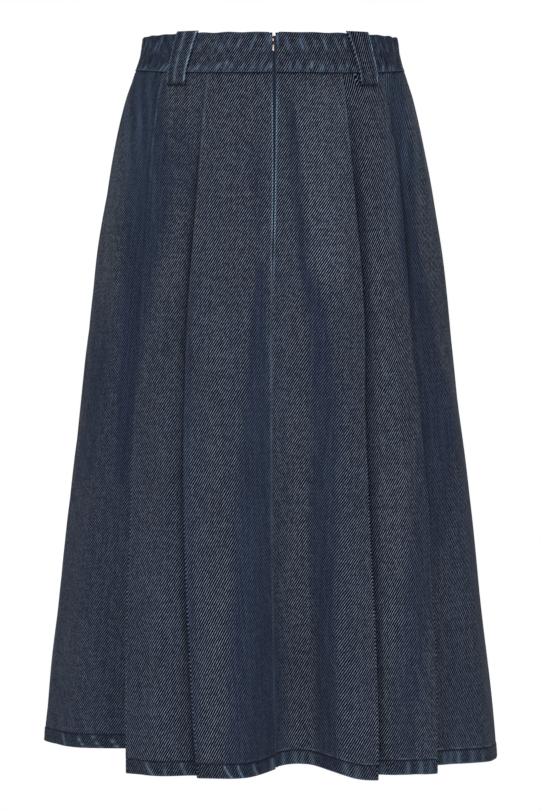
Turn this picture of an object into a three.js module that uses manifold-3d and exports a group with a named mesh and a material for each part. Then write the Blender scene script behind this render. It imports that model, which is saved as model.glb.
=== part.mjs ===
// A midi skirt in heavy indigo denim, worn, hollow, with nothing inside it.
// It has a shaped waistband with belt loops, eight knife pleats whose folds point to the side seams,
// a turned-up hem and a concealed zip at the centre back.
// Millimetres. The origin is the middle of the waist, halfway up the waistband, +Z is up,
// +Y is the wearer's front, and the zip is on the -Y side. Angles run from the centre line of the
// back (or front) round to the side seam, in degrees.
import * as THREE from "three";
import { mergeVertices } from "three/addons/utils/BufferGeometryUtils.js";
import Module from "manifold-3d";

const wasm = await Module();
wasm.setup();

// Cloth and sewing
const CLOTH = 1.1; // one layer of denim
const HEM_CLOTH = 2.3; // the hem, turned up twice
const HEM_PROUD = 0.35; // how far the hem stands out of the panel above it
const HEM_HEIGHT = 15;
const SEAM_GAP = 0.3;
const BAND_CLOTH = 2.6; // the waistband, two layers and its stiffening
const BAND_PROUD = 0.8; // how far the waistband stands out of the panels below it

// Levels
const BAND_TOP = 22;
const BAND_SEAM = -21.7; // at centre back and centre front
const SIDE_SEAM_RISE = 7.5; // the waistband is this much narrower at the sides
const HEM_LEVEL = -747;

// The body of the skirt at each level, with the half width and the half depths to back and front
const RINGS = [
  { z: 30, width: 134.6, back: 95.6, front: 93.8 },
  { z: 22, width: 135.8, back: 96.8, front: 95 },
  { z: 0, width: 139.4, back: 100.3, front: 97.8 },
  { z: -22, width: 146.4, back: 105, front: 101.5 },
  { z: -44, width: 153.7, back: 111, front: 106 },
  { z: -87, width: 163.9, back: 122, front: 114 },
  { z: -130, width: 172.5, back: 132, front: 121.5 },
  { z: -194, width: 182.2, back: 143, front: 131.5 },
  { z: -259, width: 190.3, back: 151, front: 141.5 },
  { z: -366, width: 202.1, back: 164, front: 156 },
  { z: -474, width: 215, back: 176.5, front: 170.5 },
  { z: -581, width: 226.8, back: 188.5, front: 184 },
  { z: -689, width: 238.7, back: 200, front: 197 },
  { z: -760, width: 245, back: 207, front: 205 },
];

// Where each pleat's outer fold lies, as an angle from the centre line at seven levels
const PLEAT_LEVELS = [-22, -130, -275, -370, -470, -600, -747];
const PLEATS = {
  back: {
    left: [
      { name: "side", folds: [52.5, 49.3, 46.3, 45.6, 44.3, 42.4, 39.6], open: 45, under: 34 },
      { name: "middle", folds: [28.2, 27.3, 28.1, 27.7, 26.1, 23.3, 19.6], open: 13, under: 30 },
    ],
    right: [
      { name: "side", folds: [53.5, 51, 49, 49.6, 49.1, 47.5, 44.4], open: 34, under: 34 },
      { name: "middle", folds: [30.2, 29.1, 29.5, 28, 27.2, 27.2, 25.9], open: 22, under: 30 },
    ],
  },
  front: {
    left: [
      { name: "side", folds: [52, 50, 48, 47.4, 46.6, 45, 42.6], open: 30, under: 32 },
      { name: "middle", folds: [28, 27.6, 28, 27.2, 26, 24.6, 23], open: 16, under: 30 },
    ],
    right: [
      { name: "side", folds: [52, 49.6, 47, 46.4, 45.4, 44, 41.6], open: 26, under: 32 },
      { name: "middle", folds: [28, 27.4, 27.2, 26.6, 26, 25.2, 24], open: 20, under: 30 },
    ],
  },
};
const PLEAT_UNDER_WAIST = 15; // width of cloth hidden under each fold at the waist
const PLEAT_OPEN_WAIST = 4.4; // step from one panel down to the next at the waist
const PLEAT_OPEN_POWER = 1.7; // the step grows slowly at first and fast near the hem
const FOLD_RADIUS = 1.6; // outside radius of a visible fold
const HEM_FOLD_RADIUS = 2.9;
const HIDDEN_FOLD_RADIUS = 0.9; // inside radius of the fold hidden underneath
const DIP_START = 0.42; // share of a panel's width after which it dips under its neighbour
const PANEL_STEPS = [7, 5, 8]; // facets across the side, middle and centre panels

// The hem's level at the outer and inner edge of each panel, from the side seam to the centre
const HEMS = {
  back: {
    left: [
      { outer: -731, inner: -728 },
      { outer: -748.5, inner: -748.5 },
      { outer: -749.5, inner: -749 },
    ],
    right: [
      { outer: -751, inner: -747 },
      { outer: -751.5, inner: -750 },
      { outer: -753.5, inner: -747 },
    ],
  },
  front: {
    left: [
      { outer: -731, inner: -737 },
      { outer: -743, inner: -743 },
      { outer: -744, inner: -744 },
    ],
    right: [
      { outer: -750, inner: -744 },
      { outer: -746, inner: -743 },
      { outer: -745, inner: -744 },
    ],
  },
};

// Long soft folds. Each is a trough (depth above zero) or a ridge (below zero) between four angles
// at the hem, fades to nothing at the level where it starts, and narrows on the way up.
const FLUTES = [
  { name: "centre back", edges: [-11.5, 4.5, 9.5, 18.5], depth: 50, top: -190, narrow: 0.5 },
  { name: "back left ridge", edges: [-36, -31, -27, -22], depth: -4, top: -150, narrow: 0.9 },
  { name: "back right trough", edges: [30, 35, 37, 41], depth: 7, top: -150, narrow: 0.9 },
  { name: "left side trough", edges: [-84, -74, -70, -58], depth: 5, top: -100, narrow: 1 },
  { name: "right side trough", edges: [50, 60, 64, 74], depth: 8, top: -60, narrow: 1 },
  { name: "front centre ridge", edges: [164, 176, 184, 197], depth: -16, top: -220, narrow: 0.6 },
  { name: "front left trough", edges: [200, 205, 208, 214], depth: 12, top: -260, narrow: 0.8 },
  { name: "front right trough", edges: [145, 151, 154, 158], depth: 10, top: -240, narrow: 0.8 },
  { name: "front right side", edges: [108, 118, 122, 131], depth: 8, top: -140, narrow: 1 },
  { name: "front left side", edges: [229, 238, 242, 252], depth: 7, top: -120, narrow: 1 },
];

// Where the hem itself is drawn up over the trough at the centre back, between four angles
const HEM_RISE = { edges: [-8, 8, 9.5, 23], rise: 9 };

// The centre back seam's sway off the true centre line, in degrees, at the pleats' levels
const BACK_SEAM_SWAY = [0.5, 0.1, -0.9, -1, -1, -0.6, 0.2];

// Belt loops, each at an angle from the centre line at its top and bottom end
const LOOPS = [
  { name: "belt_loop_back_left", side: -1, face: "back",
    top: 40.2, bottom: 41.8, topWidth: 25, footWidth: 21.5 },
  { name: "belt_loop_back_right", side: 1, face: "back",
    top: 40.6, bottom: 42.1, topWidth: 27, footWidth: 21.5 },
  { name: "belt_loop_front_left", side: -1, face: "front",
    top: 40, bottom: 41.5, topWidth: 26, footWidth: 22 },
  { name: "belt_loop_front_right", side: 1, face: "front",
    top: 40, bottom: 41.5, topWidth: 26, footWidth: 22 },
];
const LOOP_TOP = 23.3;
const LOOP_BOTTOM = -33.3;
const LOOP_STRAP = 1.9; // the strap, folded in three
const LOOP_STAND = 5; // how far its outer face stands off the waistband at mid height
const LOOP_END = 6.5; // length of each end, folded under and sewn down

// The zip
const ZIP_BOTTOM = -216;
const ZIP_SLIT_TOP = 3.6; // gap between the waistband's ends
const ZIP_SLIT_BOTTOM = 0.7;
const NOTCH_DROP = 4; // the waistband's top corners are rounded down at the slit
const NOTCH_WIDTH = 2.4;
const TAPE_WIDTH = 11;
const TAPE_INNER = 1.6; // half the gap between the two tapes
const TAPE_CLOTH = 0.8;
const TAPE_TOP = 21;
const COIL_TOP = 6.5;
const COIL_HALF_WIDTH = 1.3;
const COIL_DEPTH = 1.3;
const SLIDER_LEVEL = 12.5; // middle of the slider
const SLIDER_LENGTH = 9;
const SLIDER_WIDTH = 5.6;
const SLIDER_BODY = 2.2;
const SLIDER_NECK = 2;
const SLIDER_PLATE = 0.9;
const SLIDER_PLATE_WIDTH = 3.4;
const BAIL_THICK = 0.8;
const BAIL_WIDTH = 1.2;
const BAIL_OPENING = 1.5;
const PULL_THICK = 0.8;
const PULL_BAR = 0.8; // the bar of the pull that passes through the bail
const PULL_EYE_WIDTH = 2;
const PULL_EYE_HEIGHT = 2.8;
const SLIDER_FACE = -(BAND_PROUD + 0.4 + SLIDER_PLATE); // the slider's outer face, in its own frame
const PIVOT_OUT = SLIDER_FACE - BAIL_OPENING / 2; // the pull's hinge line, in the slider's frame
const PIVOT_UP = 2.4;

// Shares of the way from waist seam to hem at which the panels' rings lie
const STATIONS = [0, 0.0145, 0.04, 0.085, 0.14, 0.2, 0.27, 0.35, 0.44, 0.54, 0.65, 0.77, 0.88];
const BAND_STATIONS = [0, 0.3, 0.65, 1];
const HEM_STEP = 0.8; // height over which the panel thickens into the hem

const DENIM = new THREE.MeshStandardMaterial({ color: 0x333c4d, roughness: 0.9, metalness: 0 });
const TAPE = new THREE.MeshStandardMaterial({ color: 0x1b2233, roughness: 0.8, metalness: 0 });
const METAL = new THREE.MeshStandardMaterial({ color: 0x9a8f86, roughness: 0.35, metalness: 0.9 });

const rad = (degrees) => (degrees * Math.PI) / 180;
const mix = (a, b, t) => a + (b - a) * t;
const clamp01 = (t) => Math.min(1, Math.max(0, t));
const smooth = (t) => clamp01(t) ** 2 * (3 - 2 * clamp01(t));

// A smooth curve through a table's values, xs falling from the first to the last
function follow(xs, ys, x) {
  const last = xs.length - 1;
  if (x >= xs[0]) return ys[0];
  if (x <= xs[last]) return ys[last];
  const i = xs.findIndex((low, k) => k > 0 && x >= low) - 1;
  const slope = (k) => {
    const a = Math.max(0, k - 1);
    const b = Math.min(last, k + 1);
    return (ys[b] - ys[a]) / (xs[b] - xs[a]);
  };
  const step = xs[i + 1] - xs[i];
  const t = (x - xs[i]) / step;
  const [t2, t3] = [t * t, t * t * t];
  return (
    (2 * t3 - 3 * t2 + 1) * ys[i] +
    (t3 - 2 * t2 + t) * step * slope(i) +
    (3 * t2 - 2 * t3) * ys[i + 1] +
    (t3 - t2) * step * slope(i + 1)
  );
}

const RING_LEVELS = RINGS.map((ring) => ring.z);
const ringValue = (column, z) => follow(RING_LEVELS, RINGS.map((ring) => ring[column]), z);

// The ring at a level: the point at an angle from centre back (positive towards +X), the outward
// normal there, and how many millimetres one radian covers.
function ringAt(angle, z) {
  const width = ringValue("width", z);
  const depth = ringValue(Math.cos(angle) >= 0 ? "back" : "front", z);
  const [s, c] = [Math.sin(angle), Math.cos(angle)];
  const speed = Math.hypot(width * c, depth * s);
  return { x: width * s, y: -depth * c, nx: (depth * s) / speed, ny: (-width * c) / speed, speed };
}

// How far a place is inside four angles: 0 outside the outer two, 1 between the inner two
function within(degrees, edges) {
  const rise = smooth((degrees - edges[0]) / (edges[1] - edges[0]));
  return rise * (1 - smooth((degrees - edges[2]) / (edges[3] - edges[2])));
}

// How far the hem is drawn up at an angle
const hemRise = (angle) => HEM_RISE.rise * within((angle * 180) / Math.PI, HEM_RISE.edges);

// How deep the long soft folds are at an angle and level
function fluteDepth(angle, z) {
  const degrees = (angle * 180) / Math.PI;
  let depth = 0;
  for (const flute of FLUTES) {
    const down = clamp01((flute.top - z) / (flute.top - HEM_LEVEL));
    if (down === 0) continue;
    const centre = (flute.edges[1] + flute.edges[2]) / 2;
    const scale = mix(flute.narrow, 1, down);
    const edges = flute.edges.map((edge) => centre + (edge - centre) * scale);
    const turn = degrees < 0 && centre > 180 ? 360 : 0;
    depth += flute.depth * within(degrees + turn, edges) * smooth(down) * mix(0.6, 1, down);
  }
  return depth;
}

// A point at an angle and level, pushed out of the skirt's surface by a distance
function pointAt(angle, z, out) {
  const ring = ringAt(angle, z);
  const push = out - fluteDepth(angle, z);
  return new THREE.Vector3(ring.x + ring.nx * push, ring.y + ring.ny * push, z);
}

const seamLevel = (angle) => BAND_SEAM + SIDE_SEAM_RISE * Math.sin(angle) ** 4;
const backSeamAngle = (z) => rad(follow(PLEAT_LEVELS, BACK_SEAM_SWAY, z));

// The angle from centre back of a point that is so far round one half of the back or front
const roundFrom = (face, side, fromCentre) =>
  side * (face === "back" ? fromCentre : Math.PI - fromCentre);

// The section of one half of the back or front, from its side seam to its centre line, at a share of
// the way down. Each entry is a point of the right side of the cloth: an angle from the centre line,
// a distance out of the skirt's surface, and the level of the hem below it.
function halfSection(face, side, share, centreAngle, hemmed) {
  const z = mix(BAND_SEAM, HEM_LEVEL, share);
  const pleats = PLEATS[face][side < 0 ? "left" : "right"];
  const hems = HEMS[face][side < 0 ? "left" : "right"];
  const foldRadius = hemmed ? HEM_FOLD_RADIUS : mix(FOLD_RADIUS, FOLD_RADIUS + 0.5, share);
  const grown = share ** PLEAT_OPEN_POWER;
  const sideGap = SEAM_GAP / 2 / ringAt(roundFrom(face, side, Math.PI / 2), z).speed;
  const section = [];
  let outerEdge = Math.PI / 2 - sideGap;
  let outerHem = hems[0].outer;
  pleats.forEach((pleat, k) => {
    const fold = rad(follow(PLEAT_LEVELS, pleat.folds, z));
    const open = mix(PLEAT_OPEN_WAIST, pleat.open, grown);
    const under = mix(PLEAT_UNDER_WAIST, pleat.under, share);
    const turn = 1 / ringAt(roundFrom(face, side, fold), z).speed;
    const steps = PANEL_STEPS[k];
    // the visible panel, dipping under its neighbour's fold
    for (let i = 0; i < steps; i++) {
      const t = i / steps;
      const dip = smooth((t - DIP_START) / (1 - DIP_START));
      section.push({
        angle: mix(outerEdge, fold, t),
        out: -open * dip,
        hem: mix(outerHem, hems[k].inner, t),
      });
    }
    // the hidden lower layer, its fold and the layer that comes back under the next panel
    const lower = hems[k].inner;
    const next = hems[k + 1].outer;
    for (const t of [0, 0.5, 1]) section.push({ angle: fold - under * t * turn, out: -open, hem: lower });
    for (const a of [-30, 30, 90]) {
      const reach = under + HIDDEN_FOLD_RADIUS * Math.cos(rad(a));
      const rise = HIDDEN_FOLD_RADIUS * (1 + Math.sin(rad(a)));
      section.push({ angle: fold - reach * turn, out: -open + rise, hem: mix(lower, next, 0.3) });
    }
    for (const t of [0.5]) {
      const reach = mix(under, foldRadius, t);
      const rise = mix(-open + 2 * HIDDEN_FOLD_RADIUS, -2 * foldRadius, t);
      section.push({ angle: fold - reach * turn, out: rise, hem: mix(lower, next, 0.65) });
    }
    // the visible fold
    for (const a of [270, 215, 160]) {
      const reach = foldRadius * (1 + Math.cos(rad(a)));
      section.push({ angle: fold - reach * turn, out: foldRadius * (Math.sin(rad(a)) - 1), hem: next });
    }
    outerEdge = fold - foldRadius * turn;
    outerHem = next;
  });
  // the centre panel
  for (let i = 0; i <= PANEL_STEPS[2]; i++) {
    const t = i / PANEL_STEPS[2];
    section.push({ angle: mix(outerEdge, centreAngle, t), out: 0, hem: mix(outerHem, hems[2].inner, t) });
  }
  return section.map((p) => ({ ...p, angle: roundFrom(face, side, p.angle) }));
}

// A section's points in space at a share of the way down
function placeSection(section, share, proud) {
  return section.map((p) => {
    const top = seamLevel(p.angle) - SEAM_GAP / 2;
    const hem = p.hem + hemRise(p.angle);
    return pointAt(p.angle, mix(top, hem, share), p.out + proud);
  });
}

// The wrong side of a wall: each point moved across the path by the cloth's thickness, and the two
// end points straight into the skirt, so that neighbours stay apart at their seam
function wrongSide(points, thickness, turn, section) {
  return points.map((p, i) => {
    if (i === 0 || i === points.length - 1) {
      const { nx, ny } = ringAt(section[i].angle, p.z);
      return new THREE.Vector3(p.x - nx * thickness, p.y - ny * thickness, p.z);
    }
    const a = new THREE.Vector2(p.x - points[i - 1].x, p.y - points[i - 1].y).normalize();
    const b = new THREE.Vector2(points[i + 1].x - p.x, points[i + 1].y - p.y).normalize();
    const mid = a.clone().add(b).normalize();
    const reach = (thickness * turn) / Math.max(0.5, mid.dot(b));
    return new THREE.Vector3(p.x - mid.y * reach, p.y + mid.x * reach, p.z);
  });
}

// A closed wall between two grids of points, rows[row][column], the right side and the wrong side
function wallGeometry(right, wrong, flip) {
  const [rows, columns] = [right.length, right[0].length];
  const at = (side, row, column) => side * rows * columns + row * columns + column;
  const position = [...right, ...wrong].flatMap((row) => row.flatMap((p) => [p.x, p.y, p.z]));
  const index = [];
  const quad = (a, b, c, d) => index.push(...(flip ? [a, c, b, a, d, c] : [a, b, c, a, c, d]));
  for (let r = 0; r < rows - 1; r++) {
    for (let c = 0; c < columns - 1; c++) {
      quad(at(0, r, c), at(0, r + 1, c), at(0, r + 1, c + 1), at(0, r, c + 1));
      quad(at(1, r, c), at(1, r, c + 1), at(1, r + 1, c + 1), at(1, r + 1, c));
    }
    quad(at(0, r, 0), at(1, r, 0), at(1, r + 1, 0), at(0, r + 1, 0));
    const last = columns - 1;
    quad(at(0, r, last), at(0, r + 1, last), at(1, r + 1, last), at(1, r, last));
  }
  for (let c = 0; c < columns - 1; c++) {
    quad(at(0, 0, c), at(0, 0, c + 1), at(1, 0, c + 1), at(1, 0, c));
    quad(at(0, rows - 1, c), at(1, rows - 1, c), at(1, rows - 1, c + 1), at(0, rows - 1, c + 1));
  }
  const geometry = new THREE.BufferGeometry();
  geometry.setAttribute("position", new THREE.Float32BufferAttribute(position, 3));
  geometry.setIndex(index);
  geometry.computeVertexNormals();
  return geometry;
}

function named(name, geometry, material) {
  const mesh = new THREE.Mesh(geometry, material);
  mesh.name = name;
  return mesh;
}

// Half the slit between the two back panels at a level, closed below the zip
function slitAt(z) {
  const share = clamp01((z - ZIP_BOTTOM) / (BAND_SEAM - ZIP_BOTTOM));
  return z < ZIP_BOTTOM ? SEAM_GAP / 2 : mix(ZIP_SLIT_BOTTOM, ZIP_SLIT_TOP, share ** 2) / 2;
}

// The rows of a skirt panel: shares of the way down, whether the hem has begun, and any small drop
function panelRows() {
  const drop = -HEM_LEVEL + BAND_SEAM;
  const hemTop = 1 - HEM_HEIGHT / drop;
  return [
    ...STATIONS.map((share) => ({ share, hemmed: false })),
    { share: hemTop - HEM_STEP / drop, hemmed: false },
    { share: hemTop, hemmed: true },
    { share: 1, hemmed: true },
  ];
}

function panelWall(sectionAt, flip) {
  const right = [];
  const wrong = [];
  for (const { share, hemmed } of panelRows()) {
    const section = sectionAt(share, hemmed);
    const placed = placeSection(section, share, hemmed ? HEM_PROUD : 0);
    right.push(placed);
    wrong.push(wrongSide(placed, hemmed ? HEM_CLOTH : CLOTH, flip ? -1 : 1, section));
  }
  return wallGeometry(right, wrong, flip);
}

function backPanel(side) {
  const sectionAt = (share, hemmed) => {
    const z = mix(BAND_SEAM, HEM_LEVEL, share);
    const slit = slitAt(z) / ringAt(0, z).speed;
    return halfSection("back", side, share, side * backSeamAngle(z) + slit, hemmed);
  };
  return named(side < 0 ? "skirt_back_left" : "skirt_back_right", panelWall(sectionAt, side > 0), DENIM);
}

function frontPanel() {
  const sectionAt = (share, hemmed) => [
    ...halfSection("front", 1, share, 0, hemmed),
    ...halfSection("front", -1, share, 0, hemmed).reverse().slice(1).map((p) => ({
      ...p,
      angle: p.angle + 2 * Math.PI,
    })),
  ];
  return named("skirt_front", panelWall(sectionAt, false), DENIM);
}

// The waistband, in three pieces that meet at the side seams and leave the zip's slit open
function waistband(name, fromAngle, toAngle, steps, notchAt) {
  const angles = Array.from({ length: steps + 1 }, (_, i) => mix(fromAngle, toAngle, i / steps));
  const notchTurn = NOTCH_WIDTH / ringAt(0, BAND_TOP).speed;
  if (notchAt === "end") angles.splice(-1, 0, toAngle - Math.sign(toAngle - fromAngle) * notchTurn);
  if (notchAt === "start") angles.splice(1, 0, fromAngle + Math.sign(toAngle - fromAngle) * notchTurn);
  const last = angles.length - 1;
  const right = BAND_STATIONS.map((share) =>
    angles.map((angle, i) => {
      const slitEnd = (notchAt === "end" && i === last) || (notchAt === "start" && i === 0);
      const top = BAND_TOP - (slitEnd ? NOTCH_DROP : 0);
      return pointAt(angle, mix(top, seamLevel(angle) + SEAM_GAP / 2, share), BAND_PROUD);
    })
  );
  const wrong = BAND_STATIONS.map((share, row) =>
    angles.map((angle, i) => pointAt(angle, right[row][i].z, BAND_PROUD - BAND_CLOTH))
  );
  return named(name, wallGeometry(right, wrong, false), DENIM);
}

function waistbands() {
  const sideGap = SEAM_GAP / 2 / ringAt(Math.PI / 2, 0).speed;
  const slit = ZIP_SLIT_TOP / 2 / ringAt(0, 0).speed;
  const centre = backSeamAngle(BAND_SEAM);
  return [
    waistband("waistband_back_left", -Math.PI / 2 + sideGap, centre - slit, 16, "end"),
    waistband("waistband_back_right", centre + slit, Math.PI / 2 - sideGap, 16, "start"),
    waistband("waistband_front", Math.PI / 2 + sideGap, (3 * Math.PI) / 2 - sideGap, 30, "none"),
  ];
}

// A belt loop: a strap whose two ends are folded under and sewn down, and whose middle stands off.
// Its profile runs along the loop (0 at the top, 1 at the bottom) and out from the cloth below it.
function beltLoop({ name, side, face, top, bottom, topWidth, footWidth }) {
  const length = LOOP_TOP - LOOP_BOTTOM;
  const end = LOOP_END / length;
  const low = SEAM_GAP;
  const gap = LOOP_STAND - LOOP_STRAP;
  const inner = LOOP_STRAP + low + 0.4; // outer face of an end's under layer
  const profile = [
    { along: 0, out: low + 0.5 },
    { along: end, out: low },
    { along: end + 0.02, out: inner - 0.3 },
    { along: 0.3, out: gap },
    { along: 0.5, out: gap },
    { along: 0.7, out: gap },
    { along: 1 - end - 0.02, out: inner - 0.3 },
    { along: 1 - end, out: low },
    { along: 1, out: low + 0.5 },
    { along: 1, out: inner + LOOP_STRAP - 0.6 },
    { along: 0.96, out: inner + LOOP_STRAP },
    { along: 0.7, out: LOOP_STAND },
    { along: 0.5, out: LOOP_STAND },
    { along: 0.3, out: LOOP_STAND },
    { along: 0.04, out: inner + LOOP_STRAP },
    { along: 0, out: inner + LOOP_STRAP - 0.6 },
  ];
  const across = [-0.5, -0.25, 0, 0.25, 0.5];
  const rows = across.map((q) =>
    profile.map(({ along, out }) => {
      const z = mix(LOOP_TOP, LOOP_BOTTOM, along);
      const centre = roundFrom(face, side, rad(mix(top, bottom, along)));
      const angle = centre + (q * mix(topWidth, footWidth, along)) / ringAt(centre, z).speed;
      const onBand = smooth((z - BAND_SEAM + 4) / 3);
      return pointAt(angle, z, out + mix(0, BAND_PROUD, onBand));
    })
  );
  const position = rows.flatMap((row) => row.flatMap((p) => [p.x, p.y, p.z]));
  const count = profile.length;
  const index = [];
  for (let r = 0; r < rows.length - 1; r++) {
    for (let i = 0; i < count; i++) {
      const j = (i + 1) % count;
      const [a, b] = [r * count + i, r * count + j];
      index.push(a, b + count, b, a, a + count, b + count);
    }
  }
  const outline = profile.map(({ along, out }) => new THREE.Vector2(along * length, out));
  const faces = THREE.ShapeUtils.triangulateShape(outline, []);
  const lastRow = (rows.length - 1) * count;
  for (const [a, b, c] of faces) {
    index.push(a, b, c);
    index.push(lastRow + a, lastRow + c, lastRow + b);
  }
  const geometry = new THREE.BufferGeometry();
  geometry.setAttribute("position", new THREE.Float32BufferAttribute(position, 3));
  geometry.setIndex(index);
  geometry.computeVertexNormals();
  return named(name, geometry, DENIM);
}

// The levels of a zip strip, which follow the rows of the waistband and the panels in front of it.
// Each comes with the depth of the wrong side of the cloth there.
function stripLevels(top) {
  const band = BAND_CLOTH - BAND_PROUD;
  const bandLevels = BAND_STATIONS.map((share) => mix(BAND_TOP, BAND_SEAM, share));
  const hem = HEM_LEVEL + hemRise(0);
  const panelLevels = STATIONS.map((share) => mix(BAND_SEAM, hem, share));
  return [
    { z: top, inside: band },
    ...bandLevels.filter((z) => z < top - 2).map((z) => ({ z: z - 0.5, inside: band })),
    { z: BAND_SEAM - 3.5, inside: CLOTH },
    ...panelLevels.filter((z) => z < BAND_SEAM - 6 && z >= ZIP_BOTTOM).map((z) => ({ z, inside: CLOTH })),
  ];
}

// A strip of the zip behind the slit, between two distances from the centre line
function zipStrip(name, fromX, toX, top, thickness, steps, material) {
  const columns = Array.from({ length: steps + 1 }, (_, i) => mix(fromX, toX, i / steps));
  const grid = (depth) =>
    stripLevels(top).map(({ z, inside }) =>
      columns.map((x) => {
        const angle = backSeamAngle(z) + x / ringAt(0, z).speed;
        return pointAt(angle, z, -inside - SEAM_GAP - depth);
      })
    );
  return named(name, wallGeometry(grid(0), grid(thickness), false), material);
}

// The slider's frame: y = 0 is the skirt's surface at centre back and -y is straight out of the cloth
function sliderFrame() {
  const angle = backSeamAngle(BAND_SEAM);
  const high = pointAt(angle, BAND_TOP, 0);
  const low = pointAt(angle, BAND_SEAM, 0);
  const frame = new THREE.Group();
  frame.position.copy(pointAt(angle, SLIDER_LEVEL, 0));
  frame.rotation.x = -Math.atan2(high.y - low.y, high.z - low.z);
  return frame;
}

// A plate with its outline in x and z, from one depth to another
function plate(outline, holes, fromY, toY) {
  const shape = new THREE.Shape(outline.map(([x, z]) => new THREE.Vector2(x, z)));
  for (const hole of holes) shape.holes.push(new THREE.Path(hole.map(([x, z]) => new THREE.Vector2(x, z))));
  const geometry = new THREE.ExtrudeGeometry(shape, { depth: toY - fromY, bevelEnabled: false });
  return geometry.rotateX(Math.PI / 2).translate(0, toY, 0);
}

// A piece with its outline in y and z, centred across x
function crossPlate(outline, width) {
  const shape = new THREE.Shape(outline.map(([y, z]) => new THREE.Vector2(y, z)));
  const geometry = new THREE.ExtrudeGeometry(shape, { depth: width, bevelEnabled: false });
  geometry.translate(0, 0, -width / 2);
  const turned = new THREE.Matrix4().makeBasis(
    new THREE.Vector3(0, 1, 0),
    new THREE.Vector3(0, 0, 1),
    new THREE.Vector3(1, 0, 0)
  );
  return geometry.applyMatrix4(turned);
}

// A rectangle with cut corners
function chamfered(width, low, high, cut) {
  const half = width / 2;
  return [
    [-half + cut, low], [half - cut, low], [half, low + cut], [half, high - cut],
    [half - cut, high], [-half + cut, high], [-half, high - cut], [-half, low + cut],
  ];
}

function solidOf(geometry) {
  const bare = geometry.clone();
  bare.deleteAttribute("normal");
  bare.deleteAttribute("uv");
  const merged = mergeVertices(bare, 1e-4);
  const triVerts = new Uint32Array(merged.index.array);
  const vertProperties = new Float32Array(merged.attributes.position.array);
  return new wasm.Manifold(new wasm.Mesh({ numProp: 3, vertProperties, triVerts }));
}

function geometryOf(solid) {
  const mesh = solid.getMesh();
  const geometry = new THREE.BufferGeometry();
  geometry.setAttribute("position", new THREE.Float32BufferAttribute(mesh.vertProperties, 3));
  geometry.setIndex([...mesh.triVerts]);
  geometry.computeVertexNormals();
  return geometry;
}

const joined = (geometries) => geometryOf(geometries.map(solidOf).reduce((sum, next) => sum.add(next)));

// The slider: a body behind the tapes, a neck through the slit, an outer plate and a bail
function zipSlider() {
  const half = SLIDER_LENGTH / 2;
  const behindTapes = BAND_CLOTH - BAND_PROUD + SEAM_GAP + TAPE_CLOTH + SEAM_GAP;
  const plateBack = SLIDER_FACE + SLIDER_PLATE;
  const body = plate(chamfered(SLIDER_WIDTH, -half, half, 1.2), [], behindTapes, behindTapes + SLIDER_BODY);
  const neckOutline = chamfered(SLIDER_NECK, -half + 1, half - 0.6, 0.3);
  const neck = plate(neckOutline, [], plateBack - 0.2, behindTapes + 0.2);
  const outer = plate(chamfered(SLIDER_PLATE_WIDTH, -half, half, 0.8), [], SLIDER_FACE, plateBack);
  const [reach, room] = [BAIL_OPENING / 2 + BAIL_THICK, BAIL_OPENING / 2];
  const [foot, arch] = [SLIDER_FACE + 0.2, SLIDER_FACE - BAIL_OPENING];
  const top = arch - BAIL_THICK;
  const bail = crossPlate(
    [
      [foot, PIVOT_UP - reach], [foot, PIVOT_UP - room], [arch + 0.3, PIVOT_UP - room],
      [arch, PIVOT_UP - room + 0.3], [arch, PIVOT_UP + room - 0.3],
      [arch + 0.3, PIVOT_UP + room], [foot, PIVOT_UP + room], [foot, PIVOT_UP + reach],
      [top + 0.7, PIVOT_UP + reach], [top, PIVOT_UP + reach - 0.7], [top, PIVOT_UP - reach + 0.7],
      [top + 0.7, PIVOT_UP - reach],
    ],
    BAIL_WIDTH
  );
  return named("zip_slider", joined([body, neck, outer, bail]), METAL);
}

// The pull tab: a teardrop that hangs from the bail by its eye. Rows are half widths below the pivot.
const PULL_SIDES = [
  { down: -0.42, half: 1.2 },
  { down: -0.1, half: 1.6 },
  { down: 0.5, half: 1.8 },
  { down: 2.6, half: 1.75 },
  { down: 4.2, half: 1.35 },
  { down: 6.5, half: 1.25 },
  { down: 10.5, half: 1.6 },
  { down: 13, half: 1.8 },
  { down: 14.1, half: 1.5 },
  { down: 14.7, half: 0.8 },
];

function zipPull() {
  const right = PULL_SIDES.map(({ down, half }) => [half, PIVOT_UP - down]).reverse();
  const left = PULL_SIDES.map(({ down, half }) => [-half, PIVOT_UP - down]);
  const [eyeTop, eyeLow] = [PIVOT_UP - PULL_BAR / 2, PIVOT_UP - PULL_BAR / 2 - PULL_EYE_HEIGHT];
  const eye = chamfered(PULL_EYE_WIDTH, eyeLow, eyeTop, 0.4);
  const tab = plate([...right, ...left], [eye], PIVOT_OUT - PULL_THICK / 2, PIVOT_OUT + PULL_THICK / 2);
  return named("zip_pull", tab, METAL);
}

const skirt = new THREE.Group();
skirt.add(backPanel(-1), backPanel(1), frontPanel());
skirt.add(...waistbands());
for (const loop of LOOPS) skirt.add(beltLoop(loop));
skirt.add(zipStrip("zip_tape_left", -TAPE_WIDTH, -TAPE_INNER, TAPE_TOP, TAPE_CLOTH, 2, TAPE));
skirt.add(zipStrip("zip_tape_right", TAPE_INNER, TAPE_WIDTH, TAPE_TOP, TAPE_CLOTH, 2, TAPE));
skirt.add(zipStrip("zip_coil", -COIL_HALF_WIDTH, COIL_HALF_WIDTH, COIL_TOP, COIL_DEPTH, 1, TAPE));
skirt.add(sliderFrame().add(zipSlider(), zipPull()));

export default skirt;
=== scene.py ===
# A worn, hollow midi skirt in coarse indigo denim, seen from the back.
# Sizes are in millimetres until a mesh is made, in metres. Angles run round the skirt from the
# centre back in degrees: +90 is the wearer's right side seam, 180 the centre front, and -90 (or
# 270) the left side seam.
import math

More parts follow.
